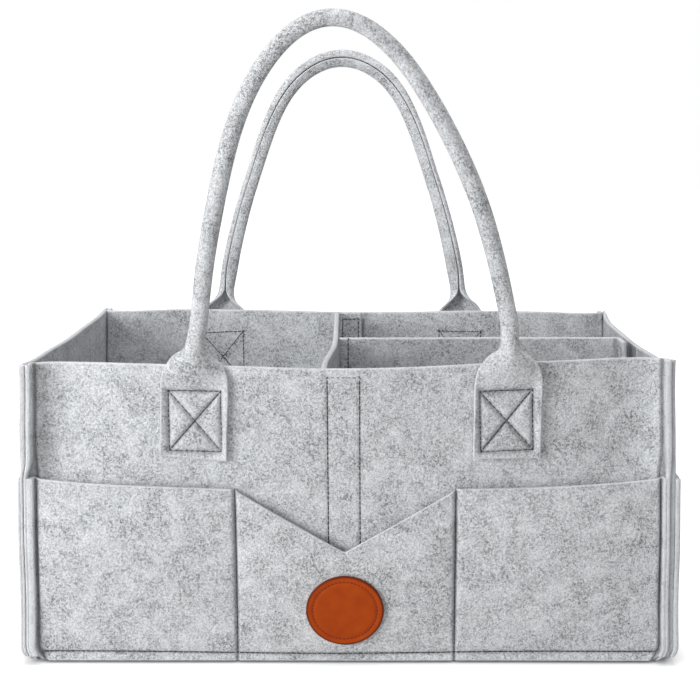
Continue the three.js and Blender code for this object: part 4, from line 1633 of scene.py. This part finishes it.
@dataclass(frozen=True)
class TanLeather(Finish):
    """Smooth dyed leather: orange-brown with a fine pebble grain, darker where the cut edge holds dye."""

    name: str = "dyed_leather_tan"
    colour: str = "#ae4506"
    deep: str = "#9e3b03"
    rim: str = "#6a2404"
    grain: float = 0.7  # mm, one pebble
    blotch: float = 7.0  # mm, unevenness of the dye
    relief: float = 0.06  # mm, height of a pebble

    def shader(self, add: Add) -> Node:
        """Adds the nodes and returns the shader."""
        rest = add("ShaderNodeAttribute", attribute_name=REST).outputs["Vector"]
        edge = add("ShaderNodeAttribute", attribute_name=EDGE).outputs["Fac"]
        pebble = add("ShaderNodeTexVoronoi", {"Vector": rest, "Scale": per_mm(self.grain)})
        dye = add("ShaderNodeTexNoise", {"Vector": rest, "Scale": per_mm(self.blotch), "Detail": 4.0})
        share = add("ShaderNodeMapRange", {"Value": dye, "From Min": 0.3, "From Max": 0.7})
        rough = add("ShaderNodeMapRange", {"Value": dye, "To Min": 0.42, "To Max": 0.58})
        tan = add("ShaderNodeMix", {0: share, 6: linear(self.deep), 7: linear(self.colour)}, data_type="RGBA")
        tan = add("ShaderNodeMix", {0: edge, 6: tan, 7: linear(self.rim)}, data_type="RGBA")
        bump = add("ShaderNodeBump", {"Height": pebble, "Distance": self.relief * MM, "Strength": 0.5})
        return add("ShaderNodeBsdfPrincipled", {
            "Base Color": tan, "Roughness": rough, "Specular IOR Level": 0.14, "Normal": bump})


@dataclass(frozen=True)
class FastenerTape(Finish):
    """Woven nylon backing of a tape: grey and dull, pebbled where the pile is knotted in."""

    pale: str
    pile: float  # mm, spacing of the knots
    relief: float = 0.4  # mm, height of a knot

    def shader(self, add: Add) -> Node:
        """Adds the nodes and returns the shader."""
        rest = add("ShaderNodeAttribute", attribute_name=REST).outputs["Vector"]
        knots = add("ShaderNodeTexVoronoi", {"Vector": rest, "Scale": per_mm(self.pile)})
        pale, deep = linear(self.pale), linear(self.colour)
        grey = add("ShaderNodeMix", {0: knots, 6: pale, 7: deep}, data_type="RGBA")
        bump = add("ShaderNodeBump", {"Height": knots, "Distance": self.relief * MM, "Strength": 0.9},
                   invert=True)
        return add("ShaderNodeBsdfPrincipled", {
            "Base Color": grey, "Roughness": 0.8, "Specular IOR Level": 0.3, "Normal": bump})


@dataclass(frozen=True)
class DrawnNylon(Finish):
    """Drawn nylon wire: pale grey and smooth, with a soft highlight along each bend."""

    name: str = "drawn_nylon_wire_grey"
    colour: str = "#a8abae"

    def shader(self, add: Add) -> Node:
        """Adds the shader and returns it."""
        return add("ShaderNodeBsdfPrincipled", {
            "Base Color": linear(self.colour), "Roughness": 0.45, "IOR": 1.53})


# Thread and wire


def inputs_of(tree: NodeTree, **kinds: str) -> bpy_prop_collection:
    """Gives a node tree its inputs and one geometry output, and returns the inputs' sockets."""
    for name, kind in kinds.items():
        tree.interface.new_socket(name, in_out="INPUT", socket_type=f"NodeSocket{kind}")
    tree.interface.new_socket("Made", in_out="OUTPUT", socket_type="NodeSocketGeometry")
    return node(tree, "NodeGroupInput").outputs


def realized(tree: NodeTree, laid: Node, finish: NodeSocket) -> None:
    """Ends a node tree: instances made real, shaded smooth and given their finish."""
    real = node(tree, "GeometryNodeRealizeInstances", {"Geometry": laid})
    smooth = node(tree, "GeometryNodeSetShadeSmooth", {"Geometry": real})
    dyed = node(tree, "GeometryNodeSetMaterial", {"Geometry": smooth, "Material": finish})
    node(tree, "NodeGroupOutput", {"Made": dyed})


def grown(name: str, carrier: Mesh, tree: NodeTree, **given: Any) -> Object:
    """Runs a node tree on a mesh of lines or points and keeps the result as a plain mesh.

    Args:
        name: Name of the piece.
        carrier: Lines or points that the tree follows.
        tree: The node tree.
        **given: Values of its inputs.

    Returns:
        The new object, with no modifier left on it.
    """
    made = link(name, carrier)
    growing = made.modifiers.new("growing", "NODES")
    growing.node_group = tree
    for item in tree.interface.items_tree:
        if item.in_out == "INPUT" and item.name in given:
            growing[item.identifier] = given[item.name]
    made.update_tag()
    seen = made.evaluated_get(bpy.context.evaluated_depsgraph_get())
    mesh = bpy.data.meshes.new_from_object(seen)
    made.modifiers.clear()
    made.data = mesh
    bpy.data.meshes.remove(carrier)
    mesh.name = name
    return made


@dataclass(frozen=True)
class Thread:
    """Machine stitches laid along lines: one small rounded bar for each stitch."""

    pitch: float = 3.0
    length: float = 3.25
    width: float = 0.7  # a little coarser than real thread, so that it shows
    spread: float = 0.12  # share by which stitches differ in length
    seed: int = 7

    def tree(self) -> NodeTree:
        """Builds the node tree that turns lines into stitches."""
        tree = bpy.data.node_groups.new("machine_stitches", "GeometryNodeTree")
        add = partial(node, tree)
        given = inputs_of(tree, Lines="Geometry", Pitch="Float", Length="Float", Width="Float",
                          Spread="Float", Seed="Int", Finish="Material")
        lines = add("GeometryNodeMeshToCurve", {"Mesh": given["Lines"]})
        places = add("GeometryNodeCurveToPoints", {"Curve": lines, "Length": given["Pitch"]}, mode="LENGTH")
        bar = add("GeometryNodeMeshUVSphere", {"Segments": 6, "Rings": 5, "Radius": 0.5})
        least = add("ShaderNodeMath", {0: 1.0, 1: given["Spread"]}, operation="SUBTRACT")
        chance = add("FunctionNodeRandomValue", {2: least, 3: 1.0, "Seed": given["Seed"]})
        long = add("ShaderNodeMath", {0: given["Length"], 1: chance}, operation="MULTIPLY")
        size = add("ShaderNodeCombineXYZ", {"X": long, "Y": given["Width"], "Z": given["Width"]})
        turn = add("FunctionNodeAlignRotationToVector", {"Vector": places.outputs["Tangent"]}, axis="X")
        laid = add("GeometryNodeInstanceOnPoints", {
            "Points": places, "Instance": bar, "Rotation": turn, "Scale": size})
        realized(tree, laid, given["Finish"])
        return tree

    def sew(self, name: str, lines: Sequence[Points], tree: NodeTree,
            material: Material) -> Object:
        """Makes the stitches of one body as a plain mesh.

        Args:
            name: Name of the piece.
            lines: Stitch lines in space.
            tree: The node tree from tree().
            material: Finish of the thread.

        Returns:
            The new object.
        """
        edges, start = [], 0
        for line in lines:
            edges += [(start + i, start + i + 1) for i in range(len(line) - 1)]
            start += len(line)
        carrier = bpy.data.meshes.new(name)
        carrier.from_pydata((np.vstack(lines) * MM).tolist(), edges, [])
        return grown(name, carrier, tree, Pitch=self.pitch * MM, Length=self.length * MM,
                     Width=self.width * MM, Spread=self.spread, Seed=self.seed, Finish=material)


@dataclass(frozen=True)
class Pile:
    """Bent nylon wires in rows on a tape: stiff hooks, or softer loops that lie every way."""

    half: Half
    height: float
    wire: float  # coarser than real wire, so that it shows
    spacing: float
    sweep: float  # degrees that a wire bends through
    turn: float  # degrees by which wires differ in direction
    seed: int = 11

    def tree(self) -> NodeTree:
        """Builds the node tree that stands a bent wire on every point."""
        tree = bpy.data.node_groups.new("tape_pile", "GeometryNodeTree")
        add = partial(node, tree)
        given = inputs_of(tree, Places="Geometry", Height="Float", Wire="Float", Sweep="Float", Turn="Float",
                          Seed="Int", Finish="Material")
        radius, thin, least = (add("ShaderNodeMath", {0: given[name], 1: share}, operation="MULTIPLY")
                               for name, share in (("Height", 0.5), ("Wire", 0.5), ("Turn", -1.0)))
        bend = add("GeometryNodeCurveArc", {
            "Resolution": 7, "Radius": radius, "Start Angle": -QUARTER, "Sweep Angle": given["Sweep"]},
            mode="RADIUS")
        profile = add("GeometryNodeCurvePrimitiveCircle", {"Resolution": 3, "Radius": thin})
        wire = add("GeometryNodeCurveToMesh", {"Curve": bend, "Profile Curve": profile, "Fill Caps": True})
        rise = add("ShaderNodeCombineXYZ", {"Z": radius})
        stood = add("GeometryNodeTransform", {
            "Geometry": wire, "Translation": rise, "Rotation": (QUARTER, 0.0, 0.0)})
        out = add("GeometryNodeInputNamedAttribute", {"Name": PILE_OUT}, data_type="FLOAT_VECTOR")
        aim = add("FunctionNodeAlignRotationToVector", {"Vector": out}, axis="Z")
        chance = add("FunctionNodeRandomValue", {2: least, 3: given["Turn"], "Seed": given["Seed"]})
        turn = add("ShaderNodeCombineXYZ", {"Z": chance})
        spin = add("FunctionNodeEulerToRotation", {0: turn})
        turned = add("FunctionNodeRotateRotation", {0: aim, 1: spin}, rotation_space="LOCAL")
        laid = add("GeometryNodeInstanceOnPoints", {
            "Points": given["Places"], "Instance": stood, "Rotation": turned})
        realized(tree, laid, given["Finish"])
        return tree

    def stand(self, name: str, places: Points, out: Points, tree: NodeTree,
              material: Material) -> Object:
        """Makes the pile of one body as a plain mesh.

        Args:
            name: Name of the piece.
            places: Where the wires stand.
            out: Direction of each wire.
            tree: The node tree from tree().
            material: Finish of the wires.

        Returns:
            The new object.
        """
        carrier = bpy.data.meshes.new(name)
        carrier.from_pydata((places * MM).tolist(), [], [])
        aim = carrier.attributes.new(PILE_OUT, "FLOAT_VECTOR", "POINT")
        aim.data.foreach_set("vector", out.astype(np.float32).ravel())
        return grown(name, carrier, tree, Height=self.height * MM, Wire=self.wire * MM, Seed=self.seed,
                     Sweep=math.radians(self.sweep), Turn=math.radians(self.turn), Finish=material)


HOOKS = Pile(Half.HOOK, height=0.8, wire=0.34, spacing=1.8, sweep=235.0, turn=15.0)
LOOPS = Pile(Half.LOOP, height=0.6, wire=0.26, spacing=1.6, sweep=330.0, turn=180.0)


# Studio


def seen_directly(add: Add) -> Node:
    """Adds nodes that are 1 for light on its way to the eye, mirrored or through glass too, or else 0."""
    path = add("ShaderNodeLightPath").outputs
    seen = add("ShaderNodeMath", {0: path["Is Camera Ray"], 1: path["Is Glossy Ray"]}, operation="MAXIMUM")
    return add("ShaderNodeMath", {0: seen, 1: path["Is Transmission Ray"]}, operation="MAXIMUM")


@dataclass(frozen=True)
class StudioPaper(Finish):
    """Pale paper floor that looks white, keeps the caddy's cast shadow, and gets a painted contact shadow
    where the caddy stands close.
    """

    name: str = "studio_floor"
    colour: str = "#d4d4d4"
    glows: Pair = (0.84, 1.0)  # near the caddy and away from it
    fade: Pair = (0.3, 0.9)  # metres from the middle between which the glow changes
    contact: float = 0.018  # metres round the caddy within which the glow is dimmed into a painted contact shadow

    def shader(self, add: Add) -> Node:
        """Adds the nodes and returns the shader."""
        place = add("ShaderNodeTexCoord").outputs["Object"]
        reach = add("ShaderNodeVectorMath", {0: place}, operation="LENGTH")
        level = add("ShaderNodeMapRange", {
            "Value": reach, "From Min": self.fade[0], "From Max": self.fade[1], "To Min": self.glows[0],
            "To Max": self.glows[1]})
        # Painted contact shadow: ambient occlusion dims the glow next to the caddy
        contact_shadow_share = add("ShaderNodeAmbientOcclusion", {"Distance": self.contact}, samples=8).outputs["AO"]
        glow = seen_directly(add)
        for share in (level, contact_shadow_share):
            glow = add("ShaderNodeMath", {0: glow, 1: share}, operation="MULTIPLY")
        paper = add("ShaderNodeBsdfDiffuse", {"Color": linear(self.colour)})
        return add("ShaderNodeAddShader", {0: paper, 1: add("ShaderNodeEmission", {"Strength": glow})})


@dataclass(frozen=True)
class Lamp:
    """A soft square lamp: its place and side in metres, and its power in watts."""

    name: str
    place: tuple[float, float, float]
    side: float
    power: float


@dataclass(frozen=True)
class Studio:
    """Floor, surroundings, lamps and the camera of the photograph, in metres and degrees."""

    eye: tuple[float, float, float] = (0.0105, -0.8942, 0.3095)
    pitch: float = 9.04
    yaw: float = -0.68
    roll: float = -0.2
    lens: float = 72.4  # mm, as the sensor
    sensor: float = 36.0
    clip: Pair = (0.01, 50.0)
    floor_half: float = 6.0
    floor_z: float = -0.0004
    sky: float = 0.25  # strength of the light from all round
    aim: tuple[float, float, float] = (0.0, 0.0, 0.12)  # where the lamps point
    lamps: tuple[Lamp, ...] = (Lamp("key", (-1.08, -0.9, 0.46), 0.7, 14.2),
                               Lamp("fill", (0.3, -1.9, 0.7), 1.4, 3.6),
                               Lamp("top", (0.0, -0.1, 1.9), 1.0, 20.0))

    def facing(self, place: Sequence[float], ahead: Vector) -> Matrix:
        """Matrix of a camera or lamp at a place that looks in a direction."""
        return Matrix.Translation(place) @ ahead.to_track_quat("-Z", "Y").to_matrix().to_4x4()

    def camera(self) -> None:
        """Sets the camera up."""
        data = bpy.data.cameras.new("camera")
        data.lens, data.sensor_width = self.lens, self.sensor
        data.clip_start, data.clip_end = self.clip
        made = link("camera", data)
        down, turn = math.radians(self.pitch), math.radians(self.yaw)
        ahead = Vector((math.sin(turn) * math.cos(down), math.cos(turn) * math.cos(down), -math.sin(down)))
        made.matrix_world = self.facing(self.eye, ahead) @ Matrix.Rotation(math.radians(self.roll), 4, "Z")
        bpy.context.scene.camera = made

    def floor(self) -> None:
        """Lays the paper."""
        half = self.floor_half
        mesh = bpy.data.meshes.new("floor")
        mesh.from_pydata([(-half, -half, 0), (half, -half, 0), (half, half, 0), (-half, half, 0)], [],
                         [(0, 1, 2, 3)])
        mesh.materials.append(StudioPaper().make())
        made = link("floor", mesh)
        made.location.z = self.floor_z

    def world(self) -> None:
        """Surrounds the caddy with soft grey light that looks white to the camera."""
        world = bpy.data.worlds.new("studio")
        bpy.context.scene.world = world
        world.use_nodes = True
        world.node_tree.nodes.clear()
        add = partial(node, world.node_tree)
        level = add("ShaderNodeMapRange", {"Value": seen_directly(add), "To Min": self.sky, "To Max": 1.0})
        light = add("ShaderNodeBackground", {"Color": (1, 1, 1, 1), "Strength": level})
        add("ShaderNodeOutputWorld", {"Surface": light})

    def build(self) -> None:
        """Sets up camera, floor, surroundings and lamps."""
        bpy.context.scene.view_settings.view_transform = "Standard"
        self.camera()
        self.floor()
        self.world()
        for lamp in self.lamps:
            data = bpy.data.lights.new(lamp.name, "AREA")
            data.size, data.energy = lamp.side, lamp.power
            made = link(lamp.name, data)
            made.matrix_world = self.facing(lamp.place, Vector(self.aim) - Vector(lamp.place))


# Assembly


@dataclass(frozen=True)
class Cut:
    """The flat rectangle that a piece was cut from, and how the piece is held."""

    width: float
    length: float
    hold: Hold
    rests_on: str
    share: float = 1.0  # share of the rectangle that the piece keeps


@dataclass
class Caddy:
    """All pieces of the caddy, each but the handles tied to its body."""

    form: CaddyForm
    thread: Thread = Thread()
    ring_thread: Thread = Thread(pitch=2.2, length=1.7, width=0.6)
    thread_lift: float = 0.12  # height of a thread's middle above the felt
    ring_lift: float = 0.05  # the same on the leather
    cut_level: float = 60.0  # height at which a long panel is measured for its cut
    cut_turn: float = 12.0  # felt that each corner takes beyond the run
    pocket_shares: Pair = (0.9, 0.97)  # felt left of a long pocket's rectangle
    strip_share: float = 0.7  # the same of a handle's strip
    frame_aside: float = 1.5  # how far left of its tape the stitched frame lies
    frame_pull: Pair = (0.45, 1.0)  # depth and width of the groove of its thread
    line_pull: Pair = (2.0, 0.75)  # the same of the lines between pockets
    hem_pull: Pair = (1.0, 0.8)  # the same of the hem
    hem_end: float = 1.0  # how far before a corner fold the hem's stitches end
    hem_points: int = 301
    line_end: float = 1.0  # how far below the mouth a pocket's line ends
    inside_shift: float = 6.0  # how much higher the same line lies inside the wall
    pocket_seam: Pair = (3.0, -1.5)  # ends of a corner seam, from hem and mouth
    wall_seam: Pair = (1.0, -3.0)  # the same above it, from mouth and rim
    frame_hidden: float = 4.0  # how far below the mouth the end wall's frame starts
    pieces: list[Object] = field(default_factory=list)
    sewn: dict[str, list[Points]] = field(default_factory=dict)
    piled: dict[str, list[tuple[Points, Points]]] = field(default_factory=dict)

    def __post_init__(self) -> None:
        """Makes the finishes and the node tree of the stitches."""
        self.felt = NeedledFelt().make()
        self.grey_thread = SpunThread("spun_polyester_thread_grey", "#33363a").make()
        self.brown_thread = SpunThread("spun_polyester_thread_brown", "#5a2008").make()
        self.leather = TanLeather().make()
        self.backings = {
            Half.HOOK: FastenerTape("nylon_hook_tape_grey", "#6f7276", "#a3a6aa", 1.3).make(),
            Half.LOOP: FastenerTape("nylon_loop_tape_grey", "#7d8084", "#b4b7bb", 0.7).make()}
        self.wire = DrawnNylon().make()
        self.stitching = self.thread.tree()

    def make(self, shell: Shell, name: str, material: Material) -> Object:
        """Makes a piece of a shell, as it lies on the handled box."""
        shell.points = self.form.settle(shell.points)
        return shell.to_object(name, material)

    def tie(self, made: Object, body: str | None, slot: Slot, *nodes: str) -> None:
        """Ties a piece to its body and hides the solids that it stands for.

        Args:
            made: The piece.
            body: Body that it moves with, or None to leave it unattached.
            slot: Material slot of the record; not used.
            *nodes: Solids that it replaces.
        """
        if body:
            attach(made, body)
        if nodes:
            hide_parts(*nodes)
        self.pieces.append(made)

    def panel(self, solid: str, shell: Shell, body: str, cut: Cut) -> None:
        """Adds the felt panel that stands for a solid."""
        made = self.make(shell, f"{solid}_felt", self.felt)
        self.tie(made, body, Slot.FELT, solid)

    def sew(self, body: str, lines: Iterable[Points]) -> None:
        """Adds stitch lines to a body."""
        self.sewn.setdefault(body, []).extend(self.form.settle(line) for line in lines)

    def tape(self, kind: Pile, wall: Side | End, tapes: Tapes, body: str, rests_on: str) -> None:
        """Adds a tape and the places of its pile to a body.

        Args:
            kind: Its hooks, which point at the wall, or its loops, which point away from it.
            wall: Wall that it lies along.
            tapes: Form of the tapes.
            body: Body that it moves with.
            rests_on: Felt that it is sewn on; not used.
        """
        form, solid = self.form, f"{wall.name.lower()}_{kind.half.value}_tape"
        if kind.half is Half.HOOK:
            width, lift, way = form.hook_width, 2 * (form.tape + form.seam_gap) - tapes.backing, 1
            depth = lift
        else:
            width, lift, way = form.loop_width, form.seam_gap, -1
            depth = lift + tapes.backing
        made = self.make(tapes.build(wall, width, lift), f"{solid}_pile", self.backings[kind.half])
        self.tie(made, body, Slot.TAPE, solid)
        places = form.settle(tapes.rows(wall, width, depth, kind.spacing))
        out = (wall.value, 0, 0) if isinstance(wall, End) else (0, wall.value, 0)
        aims = np.tile(way * np.array(out, float), (len(places), 1))
        self.piled.setdefault(body, []).append((places, aims))

    def base(self) -> None:
        """Builds the bottom panel."""
        base = BasePanel(self.form)
        cut = Cut(self.form.length, self.form.depth + base.hem_room, Hold.STRETCHED, "floor")
        self.panel("base_panel", base.build(), "caddy", cut)

    def walls(self, name: str, wall: LongPanel | EndPanel, pocket: LongPanel | EndPanel, width: float,
              share: float = 1.0) -> None:
        """Adds the wall and the pocket of one side, both cut to the same width."""
        form, wall_on, pocket_on = self.form, "base_panel_felt", f"{name}_wall_felt"
        self.panel(f"{name}_wall", wall.build(), "caddy", Cut(width, form.height, Hold.STRETCHED, wall_on))
        self.panel(f"{name}_pocket", pocket.build(), "caddy",
                   Cut(width, form.mouth_corner, Hold.STRETCHED, pocket_on, share))

    def end_side(self, end: End) -> None:
        """Builds the wall and pocket of an end, and the loop tape of the right one."""
        form, name, lift, tapes = self.form, end.name.lower(), self.thread_lift, Tapes(self.form)
        wall = EndPanel(form, end, 0.0, form.wall_felt, form.height)
        pocket = EndPanel(form, end, form.pocket_inner, form.pocket_felt, form.mouth_corner, swells=True)
        self.walls(name, wall, pocket, 2 * form.flange_tip)
        seam = form.flange_tip - wall.stitch_in
        lines = [pocket.on_face(walk([(-seam, form.hem), (seam, form.hem)]), lift)]
        seams = ((pocket, form.hem, form.mouth_corner, self.pocket_seam),
                 (wall, form.mouth_corner, form.height, self.wall_seam))
        for y in (-seam, seam):
            for panel, low, high, (start, stop) in seams:
                lines.append(panel.on_face(walk([(y, low + start), (y, high + stop)]), lift))
        if end is End.RIGHT:
            self.tape(LOOPS, end, tapes, "caddy", "right_wall_felt")
            around = walk(tapes.rectangle(form.hook_y))
            shown = around[:, 1] > form.mouth_corner - self.frame_hidden
            lines.append(wall.on_face(around[shown], lift))
        self.sew("caddy", lines)

    def pocket_press(self, x: Any, z: Any) -> Any:
        """How far the stitch lines and the hem pull a long pocket in."""
        away = np.minimum(*(np.abs(x - at) for at in self.form.stitch_lines))
        return np.maximum(groove(away, *self.line_pull), groove(z - self.form.hem_line(x), *self.hem_pull))

    def long_side(self, side: Side) -> LongPanel:
        """Builds the wall, pocket, loop tape and handle of a long side.

        Args:
            side: Which long side.

        Returns:
            The pocket's panel.
        """
        form, name, lift, tapes = self.form, side.name.lower(), self.thread_lift, Tapes(self.form)
        frame = tapes.rectangle(form.hook_x - self.frame_aside)
        wall = LongPanel(form, side, 0.0, form.wall_felt, lambda x: form.rim(x, side), marks=frame[1:3, 0],
                         press=lambda x, z: groove(to_segments(x, z, [frame]), *self.frame_pull))
        mouth = form.notched_mouth if side is Side.FRONT else form.mouth
        left, right = form.stitch_lines
        pocket = LongPanel(form, side, form.pocket_inner, form.pocket_felt, mouth, swells=True,
                           marks=(left, form.notch_x, right), press=self.pocket_press)
        width = 2 * (float(form.run_half(self.cut_level)) + self.cut_turn)
        self.walls(name, wall, pocket, width, pick(self.pocket_shares, side.value))
        self.tape(LOOPS, side, tapes, "caddy", f"{name}_wall_felt")
        hem_half = float(form.run_half(form.hem)) - self.hem_end
        along = np.linspace(-hem_half, hem_half, self.hem_points)
        lines = [pocket.on_face(np.stack([along, form.hem_line(along)], -1), lift),
                 wall.on_face(walk(frame), lift)]
        for x in form.stitch_lines:
            upright = walk([(x, form.hem), (x, float(mouth(np.float64(x))) - self.line_end)])
            lines.append(pocket.on_face(upright, lift))
            lines.append(wall.on_face(upright + (0.0, self.inside_shift), lift, inside=True))
        strip = HandleStrip.sewn(form, side)
        self.handle(name, strip)
        self.sew("caddy", lines + strip.stitches(lift, wall))
        return pocket

    def handle(self, name: str, strip: HandleStrip) -> None:
        """Builds the handle of a long side, left unattached to any body."""
        made = self.make(strip.build(), f"{name}_handle_felt", self.felt)
        low, high = (strip.fold_z + at for at in strip.hinge_blend)
        out = strip.side.value * strip.fold_out
        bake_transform(made)
        solids = [f"{name}_handle_{part}" for part in ("left_tab", "right_tab", "grip")]
        self.tie(made, None, Slot.FELT, *solids)

    def patch(self, pocket: LongPanel) -> None:
        """Builds the leather patch and its stitched ring."""
        patch = LeatherPatch(pocket)
        made = self.make(patch.build(), "leather_patch_disc", self.leather)
        self.tie(made, "caddy", Slot.LEATHER, "leather_patch")
        lines = patch.stitches(self.ring_lift)
        ring = self.ring_thread.sew("leather_patch_thread", lines, self.stitching, self.brown_thread)
        self.tie(ring, "caddy", Slot.LEATHER)

    def divider(self) -> None:
        """Builds the divider and its hook tapes."""
        form, divider = self.form, Divider(self.form)
        tapes = Tapes(form, divider.off)
        cross, long = (Cut(width, divider.height, Hold.FOLDED, "base_panel_felt")
                       for width in (2 * (form.wall_inner + divider.tab), divider.long_length + divider.tab))
        self.panel("cross_divider", divider.cross(), "divider", cross)
        for side in Side:
            self.tape(HOOKS, side, tapes, "divider", "cross_divider_felt")
        self.panel("long_divider", divider.long(), "divider_wing", long)
        self.tape(HOOKS, End.RIGHT, tapes, "divider_wing", "long_divider_felt")
        self.sew("divider", divider.cross_stitches(self.thread_lift))
        self.sew("divider_wing", divider.long_stitches(self.thread_lift))

    def build(self) -> list[Object]:
        """Builds every piece in order, and returns them."""
        self.base()
        for end in End:
            self.end_side(end)
        pockets = [self.long_side(side) for side in Side]
        self.patch(pockets[0])
        self.divider()
        for body, lines in self.sewn.items():
            made = self.thread.sew(f"{body}_thread", lines, self.stitching, self.grey_thread)
            self.tie(made, body, Slot.FELT)
        wiring = HOOKS.tree()
        for body, parts in self.piled.items():
            kind = LOOPS if body == "caddy" else HOOKS
            places, aims = (np.vstack(part) for part in zip(*parts))
            made = kind.stand(f"{body}_tape_{kind.half.value}s", places, aims, wiring, self.wire)
            self.tie(made, body, Slot.TAPE)
        return self.pieces


def main() -> None:
    """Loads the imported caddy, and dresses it."""
    logging.basicConfig(level=logging.INFO, format="%(name)s: %(message)s")
    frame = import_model()
    Studio().build()
    for made in Caddy(CaddyForm()).build():
        LOG.info("%s: %d faces", made.name, len(made.data.polygons))


if __name__ == "__main__":
    main()
